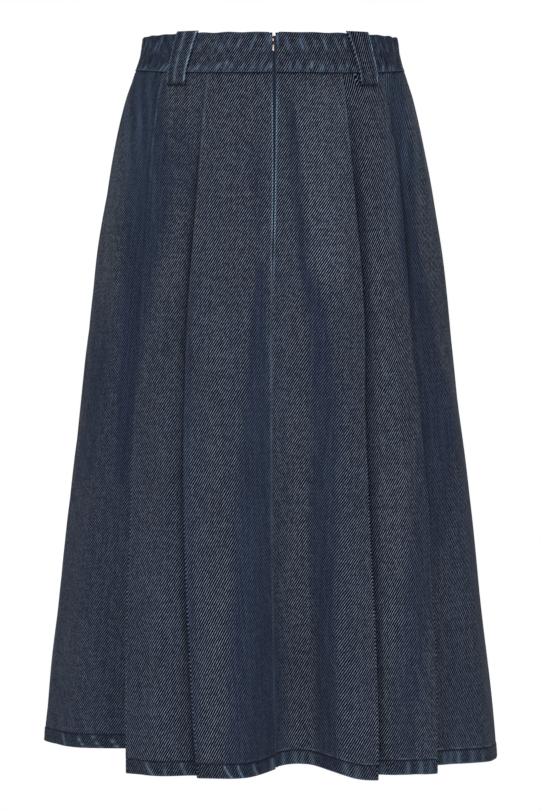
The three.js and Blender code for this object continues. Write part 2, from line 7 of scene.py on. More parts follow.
import bpy
import numpy as np
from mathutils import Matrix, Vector


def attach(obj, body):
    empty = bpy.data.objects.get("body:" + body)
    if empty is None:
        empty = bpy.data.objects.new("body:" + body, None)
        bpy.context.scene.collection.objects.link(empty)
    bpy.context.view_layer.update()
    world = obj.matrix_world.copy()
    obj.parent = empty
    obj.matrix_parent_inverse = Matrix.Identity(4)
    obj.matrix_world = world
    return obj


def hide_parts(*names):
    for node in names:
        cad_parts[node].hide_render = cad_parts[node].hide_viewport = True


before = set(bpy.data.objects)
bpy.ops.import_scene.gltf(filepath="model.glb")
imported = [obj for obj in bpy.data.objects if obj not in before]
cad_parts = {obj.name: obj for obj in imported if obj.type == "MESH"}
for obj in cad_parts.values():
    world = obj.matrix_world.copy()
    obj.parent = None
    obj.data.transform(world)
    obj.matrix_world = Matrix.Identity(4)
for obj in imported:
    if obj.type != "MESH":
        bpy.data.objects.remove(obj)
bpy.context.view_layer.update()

MM = 0.001

# Cloth and sewing
CLOTH = 1.1
HEM_CLOTH = 2.3
HEM_PROUD = 0.35
HEM_HEIGHT = 15
SEAM_GAP = 0.3
SEAM_SHUT = 0.02  # half the gap left where two sewn edges meet
BAND_CLOTH = 2.6
BAND_PROUD = 0.8

# Levels
BAND_TOP = 22
BAND_SEAM = -21.7
SIDE_SEAM_RISE = 7.5
HEM_LEVEL = -747

# The skirt's body at each level: half width, and half depths to back and front
RING_LEVELS = [30, 22, 0, -22, -44, -87, -130, -194, -259, -366, -474, -581, -689, -760]
RING_WIDTH = [134.6, 135.8, 139.4, 146.4, 153.7, 163.9, 172.5, 182.2, 190.3, 202.1, 215, 226.8, 238.7, 245]
RING_BACK = [95.6, 96.8, 100.3, 105, 111, 122, 132, 143, 151, 164, 176.5, 188.5, 200, 207]
RING_FRONT = [93.8, 95, 97.8, 101.5, 106, 114, 121.5, 131.5, 141.5, 156, 170.5, 184, 197, 205]

# Where each pleat's visible fold lies, as an angle from the centre line at seven levels, with how
# far it stands open at the hem and how much cloth is hidden under it there
PLEAT_LEVELS = [-22, -130, -275, -370, -470, -600, -747]
PLEATS = {
    ("back", -1): [
        dict(folds=[52.5, 49.3, 46.3, 45.6, 44.3, 42.4, 39.6], open=45, under=34),
        dict(folds=[28.2, 27.3, 28.1, 27.7, 26.1, 23.3, 19.6], open=13, under=30),
    ],
    ("back", 1): [
        dict(folds=[53.5, 51, 49, 49.6, 49.1, 47.5, 44.4], open=34, under=34),
        dict(folds=[30.2, 29.1, 29.5, 28, 27.2, 27.2, 25.9], open=22, under=30),
    ],
    ("front", -1): [
        dict(folds=[52, 50, 48, 47.4, 46.6, 45, 42.6], open=30, under=32),
        dict(folds=[28, 27.6, 28, 27.2, 26, 24.6, 23], open=16, under=30),
    ],
    ("front", 1): [
        dict(folds=[52, 49.6, 47, 46.4, 45.4, 44, 41.6], open=26, under=32),
        dict(folds=[28, 27.4, 27.2, 26.6, 26, 25.2, 24], open=20, under=30),
    ],
}
PLEAT_UNDER_WAIST = 15  # the cloth hidden under a pleat at the waist
PLEAT_OPEN_WAIST = 4.4  # how far a pleat stands open at the waist
PLEAT_OPEN_POWER = 1.7  # how late it opens on its way down
TURN_UP = 6  # how far the cloth deep in a pleat is turned up behind the waistband
TURN_UP_LENGTH = 16  # the length of that cloth's top which takes part in it
TOP_EDGE_RADIUS = 1.4  # the top edges are rounded in under the waistband
TOP_EDGE_FALL = 0.55
FOLD_RADIUS = 1.6
HEM_FOLD_RADIUS = 2.9
HIDDEN_FOLD_RADIUS = 0.9
DIP_START = 0.42  # the share of a panel after which it dips towards the pleat
PLEAT_SHADE_REACH = {-1: 6, 1: 11}  # how far the painted shade deep in a pleat reaches out of it, by side

# The hem's level at the outer and inner edge of each panel, from the side seam to the centre
HEMS = {
    ("back", -1): [(-731, -728), (-748.5, -748.5), (-749.5, -749)],
    ("back", 1): [(-751, -747), (-751.5, -750), (-753.5, -747)],
    ("front", -1): [(-731, -737), (-743, -743), (-744, -744)],
    ("front", 1): [(-750, -744), (-746, -743), (-745, -744)],
}

# Long soft folds: edges in degrees at the hem, depth (a ridge is below zero), the level where they
# start, and how narrow they are there
FLUTES = [
    dict(edges=[-11.5, 4.5, 9.5, 18.5], depth=50, top=-190, narrow=0.5),
    dict(edges=[-36, -31, -27, -22], depth=-4, top=-150, narrow=0.9),
    dict(edges=[30, 35, 37, 41], depth=7, top=-150, narrow=0.9),
    dict(edges=[-84, -74, -70, -58], depth=5, top=-100, narrow=1),
    dict(edges=[50, 60, 64, 74], depth=8, top=-60, narrow=1),
    dict(edges=[164, 176, 184, 197], depth=-16, top=-220, narrow=0.6),
    dict(edges=[200, 205, 208, 214], depth=12, top=-260, narrow=0.8),
    dict(edges=[145, 151, 154, 158], depth=10, top=-240, narrow=0.8),
    dict(edges=[108, 118, 122, 131], depth=8, top=-140, narrow=1),
    dict(edges=[229, 238, 242, 252], depth=7, top=-120, narrow=1),
]
# Where the hem itself is drawn up over the trough at the centre back
HEM_RISE = dict(edges=[-8, 8, 9.5, 23], rise=9)
BACK_SEAM_SWAY = [0.5, 0.1, -0.9, -1, -1, -0.6, 0.2]

# Soft creases on the shown cloth: the levels they pass, their angle at each, half width and depth
# in millimetres. A ridge has a depth below zero.
CREASES = [
    dict(levels=[-70, -100, -150, -195], angles=[-6.4, -5.6, -5.2, -5], half=2.4, depth=1.1),
    dict(levels=[-70, -110, -150, -190], angles=[-4.2, -3.9, -3.7, -3.6], half=4, depth=-0.7),
    dict(levels=[-30, -62, -95, -140, -190, -240, -320], angles=[7.4, 8.2, 9.4, 9.6, 9.4, 11.2, 12.4],
         half=4.2, depth=2.2),
    dict(levels=[-40, -80, -160, -230], angles=[14, 16, 18.5, 20], half=9, depth=-0.8),
    dict(levels=[-30, -80, -150, -220, -330], angles=[-58, -57, -55, -52.5, -51], half=7, depth=1.6),
    dict(levels=[-60, -110, -180, -250], angles=[-66, -64.5, -64, -63], half=6, depth=-0.9),
    dict(levels=[-40, -90, -160, -260], angles=[58, 57.5, 57.5, 57], half=5, depth=1.8),
    dict(levels=[-70, -110, -150, -200], angles=[61.5, 60.8, 60.2, 60], half=2.6, depth=-0.9),
    dict(levels=[-35, -70, -120, -180], angles=[-20, -18, -17, -16.5], half=8, depth=0.7),
    dict(levels=[-260, -340, -430, -520], angles=[-20, -19, -18, -16.5], half=9, depth=-1.2),
    dict(levels=[-30, -60, -100, -150], angles=[171, 170, 169, 168.5], half=5, depth=1.2),
    dict(levels=[-30, -75, -130, -210], angles=[189, 190.5, 191.5, 192], half=6, depth=1.6),
    dict(levels=[-60, -120, -190, -260], angles=[120, 121, 121.5, 122], half=7, depth=1.4),
    dict(levels=[-50, -100, -170, -250], angles=[236, 237.5, 238, 238], half=6, depth=1.3),
]
CREASE_FADE = 32  # length over which a crease's ends fade out
RIPPLE_WAVES = 5  # how many waves add up to the cloth's unevenness

# Bands where the cloth's pale lines fade and it looks plain navy, or, below zero, where they are
# clearest. Each passes levels at places across the skirt (mm to the right, seen from behind).
BACK_BANDS = [
    dict(levels=[-5, -76, -115, -156, -197, -238, -280, -321, -363, -404, -450],
         across=[-133, -132, -128, -131, -136, -141, -144, -149, -153, -156, -158],
         half=[17, 20, 24, 25, 22, 18, 14, 11, 9, 6, 5], strength=0.95),
    dict(levels=[-250, -320, -450, -745], across=[-165, -172, -184, -205], half=[20, 26, 42, 56],
         strength=0.42),
    dict(levels=[-300, -360, -450], across=[-178, -186, -197], half=[8, 10, 8], strength=0.4),
    dict(levels=[-190, -250, -445, -486, -568, -745], across=[-86, -87, -92, -92, -88, -81],
         half=[4, 4, 4, 4, 5, 5], strength=0.6),
    dict(levels=[-60, -110, -160], across=[-100, -92, -88], half=[6, 9, 8], strength=0.45),
    dict(levels=[-90, -120, -160, -200], across=[-20, -19, -17, -18], half=[5, 7, 6, 5], strength=0.45),
    dict(levels=[-215, -250, -280, -321, -363, -404, -445, -486, -527, -568, -608, -648, -745],
         across=[-16, -14.5, -16.5, -17.5, -19.5, -19.7, -21, -22, -23, -23.4, -21.4, -20.3, -21.4],
         half=[4, 6, 8, 10, 12, 15, 16, 17.5, 18, 21, 25, 27, 31], strength=1.0),
    dict(levels=[-230, -280, -321, -363, -404, -445, -486, -527, -568, -608, -648, -745],
         across=[38.4, 46.6, 48.7, 50.8, 53.9, 50.3, 50.3, 51.3, 51.3, 52.4, 52.4, 53.4],
         half=[6, 9, 12, 13, 14, 14, 14, 13, 11, 9, 9, 11], strength=0.9),
    dict(levels=[-50, -90, -130, -170, -220, -270], across=[15, 20, 23.5, 27, 31, 35],
         half=[5, 6, 7, 7, 6, 6], strength=0.75),
    dict(levels=[-80, -120, -156, -197, -260, -320, -400, -490, -570, -660],
         across=[84, 88, 91, 96, 98, 101.5, 103, 105, 108, 111], half=[3] * 10, strength=0.6),
    dict(levels=[-5, -76, -115, -156, -197, -238, -280, -321, -363, -410],
         across=[130, 135, 141.6, 142, 143.7, 150, 158, 163, 172, 178],
         half=[9, 10, 12, 10, 11, 13, 13, 14, 18, 20], strength=0.95),
    dict(levels=[-380, -404, -445, -486, -527, -568, -608, -648, -745],
         across=[176, 172, 170, 166, 158, 150, 143, 138, 132],
         half=[14, 19, 20, 20, 19, 18, 16, 14, 12], strength=0.7),
    dict(levels=[-400, -500, -620, -745], across=[192, 200, 206, 212], half=[14, 22, 30, 36], strength=0.34),
    dict(levels=[-30, -110, -190, -245], across=[52, 52, 55, 60], half=[25, 26, 22, 14], strength=-0.45),
    dict(levels=[-200, -300, -450, -745], across=[100, 112, 122, 122], half=[9, 12, 16, 16], strength=-0.3),
    dict(levels=[-240, -300, -450, -745], across=[22, 20, 26, 32], half=[10, 10, 9, 10], strength=-0.2),
    dict(levels=[-260, -400, -560, -745], across=[-62, -62, -58, -62], half=[9, 9, 12, 14], strength=-0.2),
]
FRONT_BANDS = [
    dict(levels=[-40, -120, -240, -400], across=[-130, -132, -140, -152], half=[16, 20, 16, 8],
         strength=0.85),
    dict(levels=[-40, -120, -240, -400], across=[132, 140, 148, 160], half=[12, 16, 18, 12], strength=0.85),
    dict(levels=[-300, -420, -560, -745], across=[-30, -34, -38, -42], half=[6, 12, 16, 20], strength=0.85),
    dict(levels=[-320, -440, -580, -745], across=[28, 34, 40, 46], half=[6, 10, 14, 18], strength=0.85),
    dict(levels=[-280, -400, -560, -745], across=[170, 180, 190, 204], half=[20, 28, 36, 46], strength=0.6),
    dict(levels=[-260, -400, -560, -745], across=[-168, -182, -192, -204], half=[18, 28, 36, 46],
         strength=0.5),
    dict(levels=[-30, -120, -200, -280], across=[-40, -42, -46, -52], half=[20, 24, 20, 12], strength=-0.35),
]

# The zip, the slit in front of it and the notch in the waistband above it
ZIP_BOTTOM = -216
ZIP_SLIT_TOP = 3.6
ZIP_SLIT_BOTTOM = 0.7
NOTCH_DROP = 4
NOTCH_WIDTH = 2.4
COIL_TOP = 6.5
COIL_DEPTH = 1.3

# Sewing: how far apart stitches and the zip's teeth are, and half their length along the row, half
# their width and half their height
STITCH = dict(spacing=3.3, shape=(1.25, 0.36, 0.3))
TOOTH = dict(spacing=1.3, shape=(0.42, 1.2, 0.82))

# Belt loops
LOOPS = [
    dict(name="belt_loop_back_left", side=-1, face="back", top=40.2, bottom=41.8, widths=(25, 21.5)),
    dict(name="belt_loop_back_right", side=1, face="back", top=40.6, bottom=42.1, widths=(27, 21.5)),
    dict(name="belt_loop_front_left", side=-1, face="front", top=40, bottom=41.5, widths=(26, 22)),
    dict(name="belt_loop_front_right", side=1, face="front", top=40, bottom=41.5, widths=(26, 22)),
]
LOOP_BOW = 1.4  # degrees that a loop's middle is bent away from the centre line
LOOP_TOP = 23.3
LOOP_BOTTOM = -33.3
LOOP_STRAP = 1.9  # the thickness of a loop's strap
LOOP_FOLDED = 0.4  # how far the strap stands off over the ends folded under it
LOOP_STAND = 5  # how far its face stands off in the middle
LOOP_END = 6.5  # the length of each end that is sewn down
LOOP_RIDGE_COLUMNS = [-0.2, -0.14, -0.1, -0.06, -0.02, 0.02, 0.1, 0.2]  # finer along the ridge

# The denim: a twill whose pale weft shows as broken diagonal lines between dark warps
TWILL_PERIOD = 2.15
TWILL_ANGLE = 59
BEAD_SPACING = 3.0  # the puckered beads along a worn seam edge

# The camera stands behind the skirt, a little to the left of its centre line
CAMERA_DISTANCE = 4000
CAMERA_AZIMUTH = -1.8
CAMERA_LEVEL = -267.4
CAMERA_TARGET_LEVEL = -371.7
CAMERA_LENS = 165.4

# The stage, in metres
LIT_PLACE = (0, 0, -0.35)
FLOOR_LEVEL = -1.4
FLOOR_REACH = 2.6
FLOOR_SIDES = 48


def mix(a, b, t):
    return a + (b - a) * t


def clamp01(t):
    return np.clip(t, 0.0, 1.0)


def smooth(t):
    t = clamp01(t)
    return t * t * (3 - 2 * t)


def bell(away, half):
    """A soft bump that is 1 in its middle and fades over a half width."""
    return np.exp(-((away / half) ** 2))


def follow(levels, values, z):
    """A smooth curve through a table's values, its levels falling from the first to the last."""
    levels = np.asarray(levels, float)
    values = np.asarray(values, float)
    z = np.clip(np.asarray(z, float), levels[-1], levels[0])
    last = len(levels) - 1
    i = np.clip(np.searchsorted(-levels, -z, side="left") - 1, 0, last - 1)
    after = np.minimum(np.arange(last + 1) + 1, last)
    before = np.maximum(np.arange(last + 1) - 1, 0)
    slope = (values[after] - values[before]) / (levels[after] - levels[before])
    step = levels[i + 1] - levels[i]
    t = (z - levels[i]) / step
    t2, t3 = t * t, t * t * t
    return (
        (2 * t3 - 3 * t2 + 1) * values[i]
        + (t3 - 2 * t2 + t) * step * slope[i]
        + (3 * t2 - 2 * t3) * values[i + 1]
        + (t3 - t2) * step * slope[i + 1]
    )


def ring(angle, z):
    """The skirt's ring at an angle (radians) and level: place, outward normal, mm for a radian."""
    width = follow(RING_LEVELS, RING_WIDTH, z)
    back = follow(RING_LEVELS, RING_BACK, z)
    front = follow(RING_LEVELS, RING_FRONT, z)
    s, c = np.sin(angle), np.cos(angle)
    depth = np.where(c >= 0, back, front)
    speed = np.hypot(width * c, depth * s)
    return width * s, -depth * c, depth * s / speed, -width * c / speed, speed


def within(degrees, edges):
    """0 outside the outer two of four angles, 1 between the inner two."""
    rise = smooth((degrees - edges[0]) / (edges[1] - edges[0]))
    return rise * (1 - smooth((degrees - edges[2]) / (edges[3] - edges[2])))


def hem_rise(angle):
    return HEM_RISE["rise"] * within(np.degrees(angle), HEM_RISE["edges"])


def flutes(angle, z):
    """How deep the long soft folds are at an angle and level."""
    degrees = np.degrees(angle)
    depth = np.zeros(np.broadcast(degrees, z).shape)
    for flute in FLUTES:
        down = clamp01((flute["top"] - z) / (flute["top"] - HEM_LEVEL))
        centre = (flute["edges"][1] + flute["edges"][2]) / 2
        scale = mix(flute["narrow"], 1, down)
        edges = [centre + (edge - centre) * scale for edge in flute["edges"]]
        depth = depth + flute["depth"] * within(degrees, edges) * smooth(down) * mix(0.6, 1, down)
    return depth


def creases(angle, z):
    """How deep the soft creases are at an angle and level."""
    degrees = np.degrees(angle)
    speed = ring(angle, z)[4]
    depth = np.zeros(np.broadcast(degrees, z).shape)
    for crease in CREASES:
        levels = crease["levels"]
        away = np.radians(degrees - follow(levels, crease["angles"], z)) * speed
        ends = smooth((levels[0] - z) / CREASE_FADE) * smooth((z - levels[-1]) / CREASE_FADE / 1.6)
        depth = depth + crease["depth"] * ends * bell(away, crease["half"])
    return depth


def plainness(points, bands):
    """How plain the cloth looks at points, from a table of bands."""
    x, z = points[..., 0], points[..., 2]
    total = np.zeros(x.shape)
    for band in bands:
        levels = band["levels"]
        ends = smooth((levels[0] + 18 - z) / 40) * smooth((z - levels[-1] + 18) / 40)
        away = np.abs(x - follow(levels, band["across"], z)) / follow(levels, band["half"], z)
        total = total + band["strength"] * ends * (1 - smooth((away - 0.55) / 0.9))
    uneven = 0.16 * ripple(21, x, z, 16, 60) + 0.1 * ripple(22, x, z, 5, 24)
    # the pale lines are quieter below the hips
    total = total + 0.2 * smooth((-200 - z) / 120) * (1 - clamp01(total))
    return np.clip(total + uneven * mix(0.5, 1, clamp01(total)), -0.5, 1)


def point(angle, z, out):
    x, y, nx, ny, _ = ring(angle, z)
    push = out - flutes(angle, z)
    return np.stack([x + nx * push, y + ny * push, np.broadcast_to(z, x.shape)], -1)


def seam_level(angle):
    return BAND_SEAM + SIDE_SEAM_RISE * np.sin(angle) ** 4


def back_seam(z):
    return np.radians(follow(PLEAT_LEVELS, BACK_SEAM_SWAY, z))


def round_from(face, side, from_centre):
    """The angle round the skirt of a place that far from the centre line of the back or front."""
    return side * from_centre if face == "back" else math.pi - side * from_centre


def ripple(seed, u, v, wave_u, wave_v):
    """A smooth uneven field between about -1 and 1, the same on every run."""
    rng = np.random.default_rng(seed)
    total = 0.0
    for _ in range(RIPPLE_WAVES):
        fu = rng.uniform(0.6, 1.4) / wave_u
        fv = rng.uniform(0.6, 1.4) / wave_v * rng.choice([-1, 1])
        total = total + np.sin(2 * math.pi * (u * fu + v * fv) + rng.uniform(0, 6.28))
    return total / RIPPLE_WAVES ** 0.5 / 1.2


# Facets across the side, middle and centre panels, and round the folds, back and front
FACETS = {"back": dict(panels=[48, 32, 46], deep=5, hidden=5, middle=4, fold=8),
          "front": dict(panels=[26, 20, 30], deep=4, hidden=4, middle=3, fold=7)}
BAND_COLUMN = 1.05  # how far apart the waistband's columns are


def panel_to_pleat(count, outer, fold, turn, open_, hems, reach, k):
    """A panel's rows from its outer edge to the pleat inside it, into which it dips."""
    panel_mm = (outer - fold) / turn
    rows = []
    for i in range(count):
        t = i / count
        dip = float(smooth((t - DIP_START) / (1 - DIP_START)))
        near_fold = math.exp(-t * panel_mm / 0.9) if k else 0.0
        shown = 1 - float(smooth((t - 0.9) / 0.1))
        # painted shade: strongest where the panel dips in under the next fold
        deep = math.exp(-(((1 - t) * panel_mm / reach) ** 1.6))
        rows.append((mix(outer, fold, t), -open_ * dip, mix(*hems, t), shown, near_fold, deep, k))
    return rows


def round_the_pleat(facets, fold, turn, open_, under, radius, hems):
    """A pleat's rows: in under the panel, round its hidden fold, back out and round its visible one."""
    lower, upper = hems
    rows = []
    for t in np.linspace(0, 1, facets["deep"]):
        rows.append((fold - under * t * turn, -open_, lower, 0, 0, 1, -1))
    for a in np.linspace(-90, 90, facets["hidden"])[1:]:
        reach = under + HIDDEN_FOLD_RADIUS * math.cos(math.radians(a))
        rise = HIDDEN_FOLD_RADIUS * (1 + math.sin(math.radians(a)))
        rows.append((fold - reach * turn, -open_ + rise, mix(lower, upper, 0.3), 0, 0, 1, -1))
    for t in np.linspace(0, 1, facets["middle"] + 1)[1:-1]:
        reach = mix(under, radius, t)
        rise = mix(-open_ + 2 * HIDDEN_FOLD_RADIUS, -2 * radius, t)
        rows.append((fold - reach * turn, rise, mix(lower, upper, 0.65), 0, 0, 1, -1))
    for a in np.linspace(270, 90, facets["fold"])[:-1]:
        reach = radius * (1 + math.cos(math.radians(a)))
        out = radius * (math.sin(math.radians(a)) - 1)
        near = float(smooth((270 - a) / 60))
        rows.append((fold - reach * turn, out, upper, near, bell(a - 115, 30), 1 - near, -1))
    return rows


def panel_to_centre(face, count, outer, centre_angle, z, hems):
    """The centre panel's rows; at the back its edge is turned in."""
    speed = float(ring(np.array(round_from(face, 1, 0)), z)[4])
    panel_mm = abs(outer - centre_angle) * speed
    rows = []
    for i in range(count + 1):
        t = i / count
        # facets are finer near the centre line, where the edge rolls in
        t = mix(t, 1 - (1 - t) ** 1.6, 0.5) if face == "back" else t
        near_fold = math.exp(-t * panel_mm / 0.9)
        rows.append((mix(outer, centre_angle, t), 0, mix(*hems, t), 1, near_fold, 0, 2))
    if face == "back":
        # below the zip the two edges meet
        below_zip = float(smooth((ZIP_BOTTOM - 6 - z) / 8))
        shut = below_zip * (SEAM_GAP / 2 - SEAM_SHUT) / speed
        edge = [(0.45, 0), (mix(0.6, 2.4, below_zip), shut), (mix(0.75, 6.0, below_zip), shut)]
        rows += [(centre_angle - aside, -turned_in, hems[1], 0.2, 0, 0, 2) for turned_in, aside in edge]
    return rows


def half_section(face, side, share, z, centre_angle, hem_share):
    """The right side of one half of the back or front at a level, from the side seam inwards.

    Columns: angle, distance out of the skirt's surface, hem level below, how much of the cloth
    shows, how near it is to a visible fold, how deep it lies in a pleat, which sets its painted
    shade, and which panel it is in, from the side seam (-1 in a pleat).
    """
    facets = FACETS[face]
    hems = HEMS[(face, side)]

    def speed_at(from_centre):
        return float(ring(np.array(round_from(face, side, from_centre)), z)[4])

    radius = mix(mix(FOLD_RADIUS, FOLD_RADIUS + 0.5, share), HEM_FOLD_RADIUS, hem_share)
    grown = share ** PLEAT_OPEN_POWER
    rows = []
    outer = math.pi / 2 - SEAM_SHUT / speed_at(math.pi / 2)
    outer_hem = hems[0][0]
    for k, pleat in enumerate(PLEATS[(face, side)]):
        fold = math.radians(float(follow(PLEAT_LEVELS, pleat["folds"], z)))
        open_ = mix(PLEAT_OPEN_WAIST, pleat["open"], grown)
        under = mix(PLEAT_UNDER_WAIST, pleat["under"], share)
        turn = 1 / speed_at(fold)
        lower, upper = hems[k][1], hems[k + 1][0]
        rows += panel_to_pleat(facets["panels"][k], outer, fold, turn, open_, (outer_hem, lower),
                               PLEAT_SHADE_REACH[side], k)
        rows += round_the_pleat(facets, fold, turn, open_, under, radius, (lower, upper))
        outer = fold - radius * turn
        outer_hem = upper
    rows += panel_to_centre(face, facets["panels"][2], outer, centre_angle, z, (outer_hem, hems[2][1]))
    table = np.array(rows, float)
    table[:, 0] = round_from(face, side, table[:, 0])
    return table


def slit(z):
    """Half the slit between the two back panels."""
    share = clamp01((z - ZIP_BOTTOM) / (BAND_SEAM - ZIP_BOTTOM))
    return float(np.where(z < ZIP_BOTTOM, SEAM_GAP / 2, mix(ZIP_SLIT_BOTTOM, ZIP_SLIT_TOP, share ** 2) / 2))


def panel_rows(count):
    """Rows down a panel: share of the way, and height above the hem's edge."""
    length = BAND_SEAM - HEM_LEVEL
    top = [0, 1.2, 3, 5.5, 8.5, 12, 16, 20.5]
    body = np.linspace(25, length - HEM_HEIGHT - 4.5, count)
    hem = [HEM_HEIGHT + h for h in (2.6, 1.5, 0.7, 0, -0.7, -1.5)]
    hem += [12, 10.2, 8.4, 6.6, 4.9, 3.4, 2.2, 1.3, 0.6, 0.2, 0]
    downs = list(top) + list(body) + [length - h for h in hem]
    return [(down / length, length - down) for down in downs]


HEM_EDGE_RADIUS = 1.1
EDGE_ROLL = 1.8
TURNED_IN = 3  # columns of the edge that is folded in at the centre back

# The twisted hem's worn streaks: where each starts under the stitches (mm to the right), how far it
# runs sideways on its way down, its half width and how worn it is
ROPING = [
    dict(at=-221, run=3, half=1.0, worn=0.55), dict(at=-205, run=9, half=1.0, worn=0.8),
    dict(at=-188, run=9, half=1.0, worn=0.75), dict(at=-170, run=9, half=1.0, worn=0.8),
    dict(at=-133, run=8, half=1.6, worn=0.6), dict(at=-115, run=3, half=1.0, worn=0.5),
    dict(at=-97, run=6, half=1.2, worn=0.6), dict(at=-53, run=9, half=1.0, worn=0.85),
    dict(at=-39, run=6, half=1.0, worn=0.75), dict(at=-23, run=5, half=1.1, worn=0.6),
    dict(at=-3, run=1, half=2.4, worn=0.45), dict(at=9, run=0, half=1.6, worn=0.4),
    dict(at=21, run=1, half=1.6, worn=0.4), dict(at=29, run=0, half=1.4, worn=0.35),
    dict(at=38, run=2, half=1.5, worn=0.45), dict(at=72, run=1, half=2.0, worn=0.4),
    dict(at=84, run=-1, half=2.6, worn=0.35), dict(at=110, run=0, half=2.4, worn=0.4),
    dict(at=138, run=-1, half=2.2, worn=0.45), dict(at=152, run=0, half=2.0, worn=0.5),
    dict(at=162, run=0, half=1.2, worn=0.35), dict(at=180, run=0, half=1.8, worn=0.45),
    dict(at=187, run=-1, half=1.8, worn=0.4), dict(at=196, run=0, half=2.0, worn=0.5),
    dict(at=212, run=-1, half=2.0, worn=0.4), dict(at=225, run=-2, half=1.6, worn=0.35),
]


def edge_round(distance, radius):
    """How far a rounded edge falls back at a distance from its end."""
    d = np.clip(distance, 0, radius)
    return radius - np.sqrt(np.maximum(radius ** 2 - (radius - d) ** 2, 0))


def roping(across, above):
    """How worn the twisted hem is at places across the skirt, a height above its edge."""
    down = clamp01((HEM_HEIGHT - above) / HEM_HEIGHT)
    worn = np.zeros_like(across)
    for streak in ROPING:
        away = across - streak["at"] - streak["run"] * down ** 1.8
        half = streak["half"] * mix(0.9, 1.4, down)
        worn = np.maximum(worn, streak["worn"] * bell(away, half))
    return worn * float(smooth((HEM_HEIGHT - 0.6 - above) / 1.6))


def cloth_wave(angle, z):
    """Gentle unevenness all over the cloth, with short ripples under the waistband."""
    wide = np.degrees(angle) * 3.4
    lively = 0.75 * ripple(11, wide, z, 70, 330) + 0.35 * ripple(12, wide, z, 28, 150)
    return lively + smooth((z + 95) / 60) * 0.35 * ripple(13, wide, z * 0.25, 16, 90)


def across_path(path, flip):
    """Unit normals of a path seen from above, and how much longer they are at its corners."""
    steps = np.diff(path, axis=0)
    before, after = np.vstack([steps[:1], steps]), np.vstack([steps, steps[-1:]])
    before /= np.maximum(np.hypot(before[:, 0], before[:, 1]), 1e-9)[:, None]
    after /= np.maximum(np.hypot(after[:, 0], after[:, 1]), 1e-9)[:, None]
    middle = before + after
    middle /= np.maximum(np.hypot(middle[:, 0], middle[:, 1]), 1e-9)[:, None]
    stretch = 1 / np.maximum(0.55, (middle * after).sum(1))
    return np.stack([middle[:, 1], -middle[:, 0]], -1) * (-1 if flip else 1), stretch


def worn_cloth(z, u, across, above, near_fold, rope):
    """How worn a row of a panel is: its folds, its sides under the waistband and its hem."""
    by_waist = smooth((z + 150) / 90)
    wear = near_fold * mix(0.05, 0.42, by_waist) * clamp01(0.65 + 0.5 * ripple(41, z, u * 0, 38, 50))
    faded = smooth((z + 215) / 110) * smooth((np.abs(across + 2) - 112) / 16)
    wear = np.maximum(wear, faded * clamp01(0.06 + 0.1 * ripple(45, across, z * 0.16, 15, 40)))
    to_right = smooth((across + 30) / 60)
    hem_edge = bell(above, 1.2) * mix(0.4, 0.75, to_right)
    wear = np.maximum(wear, hem_edge * clamp01(0.8 + 0.4 * ripple(42, u, z * 0, 24, 50)))
    ridge = bell(above - HEM_HEIGHT - 1.5, 0.7) * mix(0.05, 0.5, to_right)
    wear = np.maximum(wear, ridge * clamp01(0.4 + 0.8 * ripple(43, u, z * 0, 30, 50)))
    return np.maximum(wear, rope)


